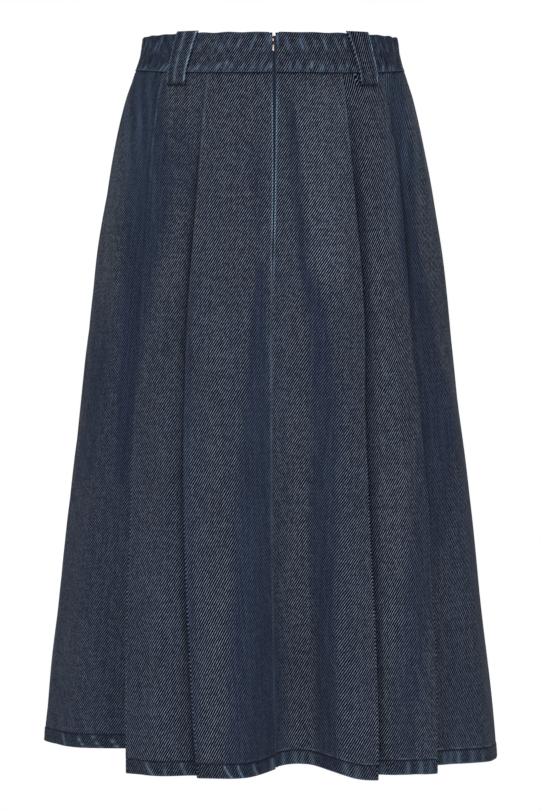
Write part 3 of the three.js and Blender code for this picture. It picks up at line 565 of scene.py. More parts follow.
def panel_row(table, share, above, flip):
    """A row of a panel: its right and wrong side, its cut's coordinates and its marks."""
    angle, out, hem, shown, near_fold, deep, _ = table.T
    in_front = angle.max() > 3
    from_top = share * (BAND_SEAM - HEM_LEVEL)
    z = mix(seam_level(angle) + SEAM_GAP / 2 - 2 * SEAM_SHUT, hem + hem_rise(angle), share)
    hem_share = float(smooth((HEM_HEIGHT + 0.5 - above) / 1.2))
    plain = point(angle, z, out)
    steps = np.hypot(np.diff(plain[:, 0]), np.diff(plain[:, 1]))
    u = np.concatenate([[0], np.cumsum(steps)])
    middle = np.argmin(np.abs(angle - math.pi)) if in_front else len(u) - 1 - TURNED_IN
    u = (u - u[middle]) * (-1 if angle[-1] < angle[0] else 1) + 900 * in_front
    across = plain[:, 0] * (-1 if in_front else 1) + 6 * in_front

    detail = (cloth_wave(angle, z) - creases(angle, z)) * shown
    from_slit = np.abs(angle) * ring(angle * 0, z)[4]
    over_tape = smooth((14.5 - from_slit) / 3) * smooth((z - ZIP_BOTTOM + 12) / 10)
    detail = mix(detail, np.maximum(detail, 0.05), over_tape)
    rope = roping(across, above)
    swell = 0.3 * ripple(31, across, above * 0.5, 13, 40)
    groove = 0.5 * bell(above - HEM_HEIGHT, 0.9)
    hem_form = hem_share * smooth(above / 1.5) * (0.4 * rope + swell) - groove
    detail = detail + hem_form * mix(0.35, 1, shown) + HEM_PROUD * hem_share
    # the top edge turns in under the waistband, and what lies deep in a pleat is turned up behind it
    detail = detail - TOP_EDGE_FALL * edge_round(from_top, TOP_EDGE_RADIUS) * (1 - smooth((-out - 0.4) / 0.6))
    behind = smooth((-out - detail - BAND_CLOTH + BAND_PROUD - 0.05) / 0.4)
    z = z + TURN_UP * behind * float(clamp01(1 - from_top / TURN_UP_LENGTH))

    right = point(angle, z, out + detail)
    thickness = mix(CLOTH, HEM_CLOTH, hem_share)
    normal, stretch = across_path(right[:, :2], flip)
    _, _, nx, ny, _ = ring(angle, z)
    for end in (0, -1) if in_front else (0,):
        normal[end] = (nx[end], ny[end])
        stretch[end] = 1
    wrong = right.copy()
    wrong[:, :2] -= normal * (thickness * stretch)[:, None]
    # the hem's lower edge is a rounded fold
    fall = float(edge_round(above, HEM_EDGE_RADIUS))
    right[:, :2] -= normal * fall
    wrong[:, :2] += normal * min(fall, thickness * 0.45)

    stitched = 0.65 * bell(above - HEM_HEIGHT, 0.7) + 0.3 * hem_share
    # dark along the hem's stitch line, and a painted shadow just under the waistband's seam
    dark = np.maximum(stitched * (1 - rope), 0.6 * bell(from_top, 1.6))
    # painted shade on the cloth deep in the pleats and where it dips towards them
    dark = np.maximum(dark, 0.75 * deep * clamp01(share * 6))
    marks = [worn_cloth(z, u, across, above, near_fold, rope), z * 0, shown, z * 0, dark]
    return right, wrong, np.stack([u, np.full_like(u, -from_top)], -1), np.stack(marks, -1)


def wall_arrays(tables, rows, flip):
    """The right and wrong side of a panel, its cut's coordinates and its marks."""
    made = [panel_row(table, share, above, flip) for (share, above), table in zip(rows, tables)]
    right, wrong, cuts, marks = (np.array(part) for part in zip(*made))
    return right, wrong, settle_grain(cuts, tables[-1][:, -1]), marks


def settle_grain(cuts, panel):
    """Runs each side panel's grain down its middle: the cloth in the pleats takes up the slack."""
    ends = np.flatnonzero(np.diff(panel)) + 1
    knots, shifts = [], []
    for first, after in zip([0, *ends], [*ends, len(panel)]):
        if panel[first] < 0:
            continue
        anchor = (first + after) // 2
        moved = cuts[len(cuts) // 2, anchor, 0] - cuts[:, anchor, 0]
        knots += [first, after - 1]
        shifts += [moved * (panel[first] < 2)] * 2
    for row, shift in zip(cuts, np.array(shifts).T):
        row[:, 0] += np.interp(np.arange(len(panel)), knots, shift)
    return cuts


def add_seam_marks(right, wrong, marks):
    """Rolls the centre back edges in, and wears them."""
    along = np.linalg.norm(np.diff(right[:, :, :2], axis=1), axis=2)
    from_start = np.concatenate([np.zeros((len(right), 1)), np.cumsum(along, axis=1)], axis=1)
    corner = right.shape[1] - 1 - TURNED_IN
    distance = np.maximum(from_start[:, corner:corner + 1] - from_start, 0)
    z = right[:, :, 2]
    by_zip = smooth((z - ZIP_BOTTOM + 30) / 30)
    roll = edge_round(distance, EDGE_ROLL) * mix(0.2, 0.8, by_zip)
    right[:, :, 1] += roll
    wrong[:, :, 1] += roll * 0.6
    edge = bell(distance - mix(0.2, 1.0, by_zip), mix(0.7, 0.8, by_zip))
    left = right[:, :, 0].mean() < 0
    worn = edge * mix(0.6 if left else 0.3, 0.85, by_zip)
    worn = worn * clamp01(0.85 + 0.3 * ripple(44, z, distance * 0, 60, 50))
    # the edges are hardly worn just under the waistband
    worn = worn * mix(1, 0.4, smooth((z - BAND_SEAM + 42) / 34))
    marks[:, :, 0] = np.maximum(marks[:, :, 0], worn)
    marks[:, :, 3] = edge * mix(0.5, 1, by_zip)
    return right, wrong, marks


def cloth_widths(right):
    """The width of a panel along its cloth, row by row."""
    steps = np.diff(right[:, :, :2], axis=1)
    return np.hypot(steps[..., 0], steps[..., 1]).sum(1)


def plain_marks(right, marks, bands):
    marks[:, :, 1] = plainness(right, bands)
    return marks


def add_object(name, data):
    obj = bpy.data.objects.new(name, data)
    bpy.context.scene.collection.objects.link(obj)
    return obj


def cloth_object(name, points, faces, cuts, marks, sharp):
    """A mesh from points and cut coordinates in millimetres, with a mark of each kind for a point."""
    mesh = bpy.data.meshes.new(name)
    mesh.from_pydata((points * MM).tolist(), [], faces)
    corners = np.empty(len(mesh.loops), np.int32)
    mesh.loops.foreach_get("vertex_index", corners)
    flat = (cuts * MM)[corners].astype(np.float32).ravel()
    mesh.uv_layers.new(name="cut").data.foreach_set("uv", flat)
    for title, values in marks.items():
        values = np.asarray(values, np.float32).ravel()
        mesh.attributes.new(title, "FLOAT", "POINT").data.foreach_set("value", values)
    mesh.shade_smooth()
    mesh.set_sharp_from_angle(angle=math.radians(sharp))
    mesh.update()
    return add_object(name, mesh)


def make_wall(name, right, wrong, cuts, marks, flip):
    """A closed wall from two grids of points in millimetres."""
    rows, columns = right.shape[:2]
    count = rows * columns
    index = np.arange(count).reshape(rows, columns)
    a, b = index[:-1, :-1].ravel(), index[1:, :-1].ravel()
    c, d = index[1:, 1:].ravel(), index[:-1, 1:].ravel()
    quads = [np.stack([a, b, c, d], 1), np.stack([a, d, c, b], 1) + count]
    left, far = index[:, 0], index[:, -1]
    top, bottom = index[0], index[-1]
    quads.append(np.stack([left[:-1], left[:-1] + count, left[1:] + count, left[1:]], 1))
    quads.append(np.stack([far[:-1], far[1:], far[1:] + count, far[:-1] + count], 1))
    quads.append(np.stack([top[:-1], top[1:], top[1:] + count, top[:-1] + count], 1))
    quads.append(np.stack([bottom[:-1], bottom[:-1] + count, bottom[1:] + count, bottom[1:]], 1))
    faces = np.vstack(quads)
    if flip:
        faces = faces[:, ::-1]
    points = np.vstack([right.reshape(-1, 3), wrong.reshape(-1, 3)])
    titles = {"wear": 0, "navy": 1, "seam": 3, "dark": 4}
    marks = marks.reshape(count, -1)
    # the wrong side has the right side's marks, but fainter
    marks = {title: np.concatenate([marks[:, i], marks[:, i] * 0.3]) for title, i in titles.items()}
    marks["reverse"] = np.repeat([0, 1], count)
    return cloth_object(name, points, faces.tolist(), np.vstack([cuts.reshape(-1, 2)] * 2), marks, 55)


def hem_row(rows, right, wrong, marks):
    """The paths of the hem's stitches across the shown cloth of a panel: places and directions out."""
    level = next(i for i, (_, above) in enumerate(rows) if abs(above - HEM_HEIGHT) < 0.01)
    out = right[level] - wrong[level]
    out /= np.linalg.norm(out, axis=1)[:, None]
    shown = marks[level, :, 2] > 0.03
    edges = np.flatnonzero(np.diff(shown)) + 1
    runs = zip([0, *edges], [*edges, len(shown)])
    return [(right[level, first:after] + 0.12 * out[first:after], out[first:after])
            for first, after in runs if shown[first] and after - first > 3]


def back_panel(side):
    rows = panel_rows(150)
    tables = []
    for share, above in rows:
        z = mix(BAND_SEAM, HEM_LEVEL, share)
        speed = float(ring(np.array(0.0), z)[4])
        hem_share = float(smooth((HEM_HEIGHT + 0.5 - above) / 1.2))
        centre = side * float(back_seam(z)) + slit(z) / speed
        tables.append(half_section("back", side, share, z, centre, hem_share))
    right, wrong, cuts, marks = wall_arrays(tables, rows, side > 0)
    marks = plain_marks(right, marks, BACK_BANDS)
    right, wrong, marks = add_seam_marks(right, wrong, marks)
    name = "denim_back_left" if side < 0 else "denim_back_right"
    obj = make_wall(name, right, wrong, cuts, marks, side > 0)
    return obj, cloth_widths(right), hem_row(rows, right, wrong, marks)


def front_panel():
    rows = panel_rows(125)
    tables = []
    for share, above in rows:
        z = mix(BAND_SEAM, HEM_LEVEL, share)
        hem_share = float(smooth((HEM_HEIGHT + 0.5 - above) / 1.2))
        halves = [half_section("front", side, share, z, 0, hem_share) for side in (1, -1)]
        tables.append(np.vstack([halves[0], halves[1][::-1][1:]]))
    right, wrong, cuts, marks = wall_arrays(tables, rows, False)
    marks = plain_marks(right, marks, FRONT_BANDS)
    obj = make_wall("denim_front", right, wrong, cuts, marks, False)
    return obj, cloth_widths(right), hem_row(rows, right, wrong, marks)


def streaks(seed, u, z, low, high, span, slant, count):
    """Worn puckers of a waistband: short leaning ridges, uneven in place, length and strength."""
    rng = np.random.default_rng(seed)
    total = np.zeros_like(u)
    for i in range(count):
        at = low + (i + rng.uniform(0.1, 0.9)) * (high - low) / count
        start, end = span[0] + rng.uniform(-2, 3), span[1] + rng.uniform(-5, 2)
        lean = slant + rng.uniform(-0.18, 0.18)
        half = rng.uniform(0.7, 1.4)
        strength = rng.uniform(0.35, 1.0)
        away = u - at - lean * (z - start)
        along = smooth((z - min(start, end)) / 4) * smooth((max(start, end) - z) / 5)
        total = np.maximum(total, strength * along * bell(away, half))
    return total


def round_the_band(angles):
    """How far round the waistband each angle is from the first."""
    middles = (angles[1:] + angles[:-1]) / 2
    return np.concatenate([[0], np.cumsum(np.diff(angles) * ring(middles, 0)[4])])


def band_wear(u, z, from_top, from_low, from_slit, puckers, to_side):
    """How worn a row of the waistband is; from_slit is None away from the zip."""
    lower, upper = puckers
    wear = np.maximum(0.92 * lower, 0.66 * upper)
    top_edge = clamp01(0.5 + 0.6 * ripple(54, u, z * 0, 30, 50))
    wear = np.maximum(wear, 0.5 * bell(from_top, 1.0) * top_edge)
    if from_slit is not None:
        wear = np.maximum(wear, 0.75 * bell(from_slit - 1.2, 1.5) * smooth((z - 2) / 14))
        wear = np.maximum(wear, 0.35 * bell(from_slit, 1.5))
    wear = np.maximum(wear, 0.5 * to_side * bell(from_low - 0.7, 0.7))
    frayed = bell(from_low - 1.5, 0.6) * clamp01(1.2 * ripple(56, u, z * 0, 3.2, 50))
    return np.maximum(wear, 0.55 * (1 - to_side) * frayed)


def waistband(name, low, high, notch):
    """One of the waistband's three pieces, between two angles in degrees."""
    radius = ring(np.array(math.radians((low + high) / 2)), 0)[4]
    columns = int(math.radians(high - low) * radius / BAND_COLUMN)
    t = np.linspace(0, 1, columns)
    t = mix(t, t * t * (3 - 2 * t), 0.35)
    angles = np.radians(mix(low, high, t))
    levels = np.concatenate([[0, 0.006, 0.018, 0.036], np.linspace(0.06, 0.94, 26), [0.965, 0.985, 1]])
    speed = float(ring(np.array(0.0), BAND_TOP)[4])
    from_slit = np.abs(angles - angles[0 if notch == "start" else -1]) * speed if notch else None
    u = round_the_band(angles)
    u = u - (u[-1] if notch == "end" else 0)
    wide = u[-1] - u[0]
    seed = int(abs(low)) + 7
    on_left = low < -60
    z_low = seam_level(angles) + SEAM_GAP / 2
    top = BAND_TOP + 0.28 * ripple(51, np.degrees(angles) * 3, angles * 0, 46, 50) - 0.4
    if notch:
        top = top - NOTCH_DROP * (1 - smooth(from_slit / (NOTCH_WIDTH * 1.7)))
    height = top - z_low
    from_centre = np.degrees(np.minimum(np.abs(angles), np.abs(angles - math.pi)))
    to_side = smooth((from_centre - 40) / 12)
    right, wrong, cuts, marks = [], [], [], []
    for share in levels:
        z = mix(top, z_low, share)
        from_top, from_low = share * height, (1 - share) * height
        lower = streaks(seed, u, z, u[0], u[-1], (-20.5, -8), 0.55 if on_left else 0.35, int(wide / 5.4))
        upper = streaks(seed + 50, u, z, u[0], u[-1], (1, 20.5), 0.35 if on_left else -0.3, int(wide / 10))
        soft = 0.45 * ripple(52, u, z, 34, 60) + 0.2 * ripple(53, u, z, 12, 25)
        out = BAND_PROUD + soft + 0.45 * lower + 0.35 * upper - 0.1
        out = out - 1.2 * edge_round(from_top, 1.3) / 1.3 - 0.9 * edge_round(from_low, 1.0)
        if notch:
            out = out - 1.3 * edge_round(from_slit, 1.6)
        right.append(point(angles, z, out))
        wrong.append(point(angles, z, BAND_PROUD - BAND_CLOTH + 0.9 * edge_round(from_top, 1.0)))
        cuts.append(np.stack([u, z + 300], -1))
        wear = band_wear(u, z, from_top, from_low, from_slit, (lower, upper), to_side)
        navy = clamp01(0.1 + 0.75 * to_side + 0.4 * ripple(55, u, z, 30, 26))
        shadow = np.maximum(0.85 * bell(from_low, 0.85), 0.45 * clamp01(ripple(57, u, z, 13, 20)))
        marks.append(np.stack([wear, navy, np.ones_like(u), wear * 0, shadow], -1))
    right, wrong, cuts, marks = (np.array(part) for part in (right, wrong, cuts, marks))
    return make_wall(name, right, wrong, cuts, marks, False), cuts


def loop_middle(loop, along):
    """The angle of a loop's middle line from the centre line of the back or front, down its length."""
    return np.radians(mix(loop["top"], loop["bottom"], along) + LOOP_BOW * 4 * along * (1 - along))


def loop_profile():
    """A strap seen from its side: shares of its length, and how far out from the cloth under it.

    The first rows are the under side, from the upper foot to the lower, and the others the face.
    """
    end = LOOP_END / (LOOP_TOP - LOOP_BOTTOM)
    inner = LOOP_STRAP + SEAM_GAP + LOOP_FOLDED
    face = inner + LOOP_STRAP
    gap = LOOP_STAND - LOOP_STRAP
    low = SEAM_GAP + 0.15
    foot = [(0.0, low + 0.9), (0.02, low + 0.3), (end * 0.6, low), (end, low + 0.2), (end + 0.012, low + 1.0),
            (end + 0.03, inner - 0.35), (0.2, gap - 0.25)]
    far_foot = [(0.8, gap - 0.25)] + [(1 - along, out) for along, out in foot[-2::-1]]
    under = foot + [(along, gap) for along in (0.3, 0.42, 0.5, 0.58, 0.7)] + far_foot
    over = [(1.012, low + 1.9), (1.008, inner + 1.0), (0.985, face - 0.35), (0.95, face), (0.9, face + 0.1),
            (0.86, face), (0.78, LOOP_STAND - 0.05), (0.7, LOOP_STAND), (0.6, LOOP_STAND + 0.1),
            (0.5, LOOP_STAND + 0.15), (0.4, LOOP_STAND + 0.1), (0.3, LOOP_STAND), (0.2, LOOP_STAND - 0.05),
            (0.12, face), (0.06, face), (0.02, face - 0.3), (-0.006, inner + 1.0), (-0.008, low + 1.9)]
    return np.array(under + over), len(under)


def strap_faces(rows, profile, n_under):
    """The faces round a strap, and those that close its two sides along its own thickness."""
    count = len(profile)
    index = np.arange(rows * count).reshape(rows, count).tolist()
    faces = [[index[r][i], index[r + 1][i], index[r + 1][(i + 1) % count], index[r][(i + 1) % count]]
             for r in range(rows - 1) for i in range(count)]
    for row, turned in ((index[0], False), (index[-1], True)):
        under_side, over_side = row[:n_under], row[n_under:][::-1]
        i, j = 0, 0
        side = []
        while i < len(under_side) - 1 or j < len(over_side) - 1:
            step_under = j == len(over_side) - 1 or (
                i < len(under_side) - 1 and profile[i + 1, 0] <= profile[count - 2 - j, 0])
            if step_under:
                side.append([under_side[i], under_side[i + 1], over_side[j]])
                i += 1
            else:
                side.append([under_side[i], over_side[j + 1], over_side[j]])
                j += 1
        faces += [face[::-1] if turned else face for face in side]
    return faces


def belt_loop(loop):
    """A strap with rolled edges, both ends folded under and sewn down, standing off in between."""
    profile, n_under = loop_profile()
    along = profile[:, 0]
    is_over = (np.arange(len(profile)) >= n_under).astype(float)
    half_across = [0.28, 0.36, 0.4, 0.425, 0.45, 0.475, 0.494, 0.5]
    across = np.array([-q for q in half_across[::-1]] + LOOP_RIDGE_COLUMNS + half_across)
    width = sum(loop["widths"]) / 2
    inset = 0.78 * (np.abs(across) >= 0.494) + 0.3 * (np.abs(np.abs(across) - 0.475) < 0.001)
    z = mix(LOOP_TOP, LOOP_BOTTOM, along)
    centre = round_from(loop["face"], loop["side"], loop_middle(loop, along))
    proud = mix(0, BAND_PROUD, smooth((z - BAND_SEAM + 4) / 3))
    rows, cuts, wears, darks = [], [], [], []
    for q, round_in in zip(across, inset):
        edge = (0.5 - abs(q)) * width
        bead = 0.42 * bell(edge - 1.3, 1.0)
        dip = 0.3 * bell(edge - 3.4, 1.2)
        ridge = bell((q + 0.06) * width, 1.1) if loop["side"] < 0 else 0.0
        # the strap's edge is rounded: both faces come together there
        out = profile[:, 1] + (0.5 - is_over) * LOOP_STRAP * round_in
        out = out + is_over * (bead - dip + 0.3 * ridge)
        angle = centre + q * mix(*loop["widths"], along) / ring(centre, z)[4]
        rows.append(point(angle, z, out + proud))
        cuts.append(np.stack([np.full_like(z, q * width + 40), z + 600], -1))
        to_right = q + 0.5
        worn = mix(0.7, 1.1, to_right) * bell(edge - 1.2, mix(0.6, 0.9, to_right)) + 0.7 * ridge
        by_foot = 1 - 0.7 * smooth((along - 0.93) / 0.03)
        wears.append(worn * is_over * by_foot * clamp01(0.8 + 0.3 * ripple(61, z, z * 0, 14, 50)))
        # painted shade along the strap's creases and over its under side, and a painted shadow at its lower
        # foot
        creased = 0.5 * bell(q + 0.3, 0.1) + 0.3 * bell(q - 0.22, 0.12)
        dark = np.maximum(0.75 * smooth((along - 0.955) / 0.02), 0.8 * (1 - is_over))
        darks.append(np.maximum(dark, creased))
    plain = np.zeros(len(rows) * len(profile))
    marks = {"wear": wears, "navy": plain + 0.1, "seam": plain, "dark": darks, "reverse": plain}
    faces = strap_faces(len(rows), profile, n_under)
    points, cuts = np.array(rows).reshape(-1, 3), np.array(cuts).reshape(-1, 2)
    return cloth_object("denim_" + loop["name"], points, faces, cuts, marks, 60)


def loop_rows(loop):
    """The paths of the stitches across both feet of a belt loop."""
    face = 2 * LOOP_STRAP + SEAM_GAP + LOOP_FOLDED
    paths = []
    for level, width, proud in ((LOOP_TOP - 4.6, loop["widths"][0], BAND_PROUD),
                                (LOOP_BOTTOM + 3.4, loop["widths"][1], 0)):
        along = (LOOP_TOP - level) / (LOOP_TOP - LOOP_BOTTOM)
        centre = float(round_from(loop["face"], loop["side"], loop_middle(loop, along)))
        across = np.linspace(-0.43, 0.43, 14) * width
        angle = centre + across / float(ring(np.array(centre), level)[4])
        _, _, nx, ny, _ = ring(angle, level)
        path = point(angle, level, np.full_like(angle, face + proud + 0.1))
        paths.append((path, np.stack([nx, ny, nx * 0], -1)))
    return paths


def coil_row():
    """The path of the zip's teeth, down the middle of its coil."""
    z = np.arange(COIL_TOP - 1, ZIP_BOTTOM + 1, -2.0)
    inside = mix(CLOTH, BAND_CLOTH - BAND_PROUD, clamp01((z - BAND_SEAM + 3.5) / 3))
    angle = back_seam(z)
    _, _, nx, ny, _ = ring(angle, z)
    return [(point(angle, z, -inside - SEAM_GAP - COIL_DEPTH / 2), np.stack([nx, ny, nx * 0], -1))]


def row_tree():
    """Geometry nodes that set one rounded shape after another along a path."""
    tree = bpy.data.node_groups.new("rounded shapes in a row", "GeometryNodeTree")
    socket(tree, "Geometry", "NodeSocketGeometry", "INPUT")
    socket(tree, "Spacing", "NodeSocketFloat", "INPUT", 0.003)
    socket(tree, "Shape", "NodeSocketVector", "INPUT")
    socket(tree, "Uneven", "NodeSocketFloat", "INPUT", 0.1)
    socket(tree, "Seed", "NodeSocketInt", "INPUT", 1)
    socket(tree, "Finish", "NodeSocketMaterial", "INPUT")
    socket(tree, "Geometry", "NodeSocketGeometry", "OUTPUT")
    net = Net(tree)
    given = net.node("NodeGroupInput").outputs
    path = net.node("GeometryNodeMeshToCurve", {"Mesh": given["Geometry"]}).outputs["Curve"]
    places = net.node("GeometryNodeResampleCurve", {"Curve": path, "Length": given["Spacing"]}, mode="LENGTH")
    shape = net.node("GeometryNodeMeshUVSphere", {"Segments": 6, "Rings": 4, "Radius": 1.0})
    way = net.node("GeometryNodeInputTangent").outputs["Tangent"]
    out = net.node("GeometryNodeInputNamedAttribute", {"Name": "outward"}, data_type="FLOAT_VECTOR")
    along = net.node("FunctionNodeAlignRotationToVector", {"Vector": way}, axis="X")
    turned = net.node("FunctionNodeAlignRotationToVector",
                      {"Rotation": along.outputs["Rotation"], "Vector": out.outputs["Attribute"]},
                      axis="Z", pivot_axis="X")
    chance = net.node("FunctionNodeRandomValue", data_type="FLOAT")
    net.put(chance.inputs[2], net.math("SUBTRACT", 1.0, given["Uneven"]))
    net.put(chance.inputs[3], net.math("ADD", 1.0, given["Uneven"]))
    net.put(chance.inputs["Seed"], given["Seed"])
    sized = net.node("ShaderNodeVectorMath", operation="SCALE")
    net.put(sized.inputs[0], given["Shape"])
    net.put(sized.inputs["Scale"], chance.outputs[1])
    row = net.node("GeometryNodeInstanceOnPoints",
                   {"Points": places.outputs["Curve"], "Instance": shape.outputs["Mesh"],
                    "Rotation": turned.outputs["Rotation"], "Scale": sized.outputs["Vector"]})
    real = net.node("GeometryNodeRealizeInstances", {"Geometry": row.outputs["Instances"]})
    done = net.node("GeometryNodeSetMaterial",
                    {"Geometry": real.outputs["Geometry"], "Material": given["Finish"]})
    net.put(net.node("NodeGroupOutput").inputs["Geometry"], done.outputs["Geometry"])


def row_of(name, paths, kind, uneven, seed, finish):
    """A piece of stitches or teeth along paths in millimetres, each with its directions out."""
    places = np.vstack([path for path, _ in paths]) * MM
    outward = np.vstack([out for _, out in paths])
    starts = np.cumsum([0] + [len(path) for path, _ in paths])
    edges = [(i, i + 1) for first, after in zip(starts, starts[1:]) for i in range(first, after - 1)]
    mesh = bpy.data.meshes.new(name)
    mesh.from_pydata(places.tolist(), [(int(a), int(b)) for a, b in edges], [])
    ways = mesh.attributes.new("outward", "FLOAT_VECTOR", "POINT")
    ways.data.foreach_set("vector", outward.astype(np.float32).ravel())
    obj = add_object(name, mesh)
    tree = bpy.data.node_groups["rounded shapes in a row"]
    modifier = obj.modifiers.new("row", "NODES")
    modifier.node_group = tree
    sockets = {item.name: item.identifier for item in tree.interface.items_tree if item.in_out == "INPUT"}
    modifier[sockets["Spacing"]] = kind["spacing"] * MM
    modifier[sockets["Shape"]] = [half * MM for half in kind["shape"]]
    modifier[sockets["Uneven"]] = uneven
    modifier[sockets["Seed"]] = seed
    modifier[sockets["Finish"]] = finish
    view = bpy.context.evaluated_depsgraph_get()
    made = bpy.data.meshes.new_from_object(obj.evaluated_get(view))
    obj.modifiers.remove(modifier)
    obj.data = made
    obj.data.shade_smooth()
    return obj


# Materials


def socket(group, name, kind, where, value=None):
    made = group.interface.new_socket(name=name, in_out=where, socket_type=kind)
    if value is not None:
        made.default_value = value


class Net:
    """Adds nodes to a tree and links them."""

    def __init__(self, tree):
        self.tree = tree

    def put(self, target, value):
        if isinstance(value, bpy.types.NodeSocket):
            self.tree.links.new(value, target)
        elif value is not None:
            target.default_value = value

    def fill(self, sockets, values):
        for key, value in values.items():
            self.put(sockets[key], value)

    def node(self, kind, inputs=None, **settings):
        made = self.tree.nodes.new(kind)
        for key, value in settings.items():
            setattr(made, key, value)
        self.fill(made.inputs, inputs or {})
        return made

    def math(self, operation, a, b=None, c=None, clamp=False):
        made = self.node("ShaderNodeMath", {0: a, 1: b, 2: c}, operation=operation, use_clamp=clamp)
        return made.outputs[0]

    def ease(self, value, low, high, to_low=0.0, to_high=1.0):
        ends = {"From Min": low, "From Max": high, "To Min": to_low, "To Max": to_high}
        made = self.node("ShaderNodeMapRange", {"Value": value, **ends}, interpolation_type="SMOOTHSTEP")
        return made.outputs["Result"]

    def blend(self, share, a, b):
        # these are the places of the colour sockets among the node's hidden ones
        return self.node("ShaderNodeMix", {0: share, 6: a, 7: b}, data_type="RGBA").outputs[2]

    def noise(self, vector, scale, detail=2.0, rough=0.5, dimensions="2D"):
        given = {"Vector": vector, "Scale": scale, "Detail": detail, "Roughness": rough}
        return self.node("ShaderNodeTexNoise", given, noise_dimensions=dimensions).outputs["Fac"]

    def bump(self, height, distance, strength=None):
        given = {"Height": height, "Distance": distance, "Strength": strength}
        return self.node("ShaderNodeBump", given).outputs["Normal"]


def srgb(*levels):
    """A colour from its levels of 255 on a screen."""
    shares = [level / 255 for level in levels]
    return (*(((c + 0.055) / 1.055) ** 2.4 if c > 10 / 255 else c / 12.92 for c in shares), 1.0)


WARP_DARK = srgb(2, 6, 18)
WARP_NAVY = srgb(19, 26, 42)
WARP_FADED = srgb(27, 36, 55)
# the darkest navy, for dark stitch lines and for painted shade and painted shadow
STITCH_AND_SHADE_NAVY = srgb(8, 11, 19)
WEFT_PALE = srgb(166, 179, 202)
FADED_BLUE = srgb(88, 110, 134)
WORN_PALE = srgb(142, 166, 184)
REVERSE_DARK = srgb(50, 58, 72)
REVERSE_PALE = srgb(132, 142, 152)
MARKS = ("Wear", "Navy", "Reverse", "Seam", "Dark")  # what each point of the cloth says of its look


def twill_lines(net, cut, reverse):
    """The height up the cloth, the weave's diagonal lines, and the weft that shows along them."""
    parts = net.node("ShaderNodeSeparateXYZ", {"Vector": cut})
    u, v = parts.outputs["X"], parts.outputs["Y"]
    period = TWILL_PERIOD * MM
    sin_a, cos_a = math.sin(math.radians(TWILL_ANGLE)), math.cos(math.radians(TWILL_ANGLE))
    # the reverse shows the same lines leaning the other way
    lean = net.math("MULTIPLY_ADD", reverse, -2.0, 1.0)
    v_lean = net.math("MULTIPLY", v, lean)
    wander = net.math("SUBTRACT", net.noise(cut, 90.0, 2.0), 0.5)
    across = net.math("SUBTRACT", net.math("MULTIPLY", u, sin_a / period),
                      net.math("MULTIPLY", v_lean, cos_a / period))
    across = net.math("ADD", across, net.math("MULTIPLY", wander, 0.32))
    along = net.math("ADD", net.math("MULTIPLY", u, cos_a / period),
                     net.math("MULTIPLY", v_lean, sin_a / period))
    line = net.math("MULTIPLY_ADD", net.math("SINE", net.math("MULTIPLY", across, 2 * math.pi)), 0.5, 0.5)
    cell = net.node("ShaderNodeCombineXYZ", {"X": across, "Y": net.math("MULTIPLY", along, 0.4)})
    dash = net.noise(cell.outputs[0], 1.5, 1.0, 0.5)
    dash = net.ease(dash, 0.32, 0.68, 0.62, 1.38)
    return v, line, net.math("MULTIPLY", net.math("POWER", line, 8.5), dash)


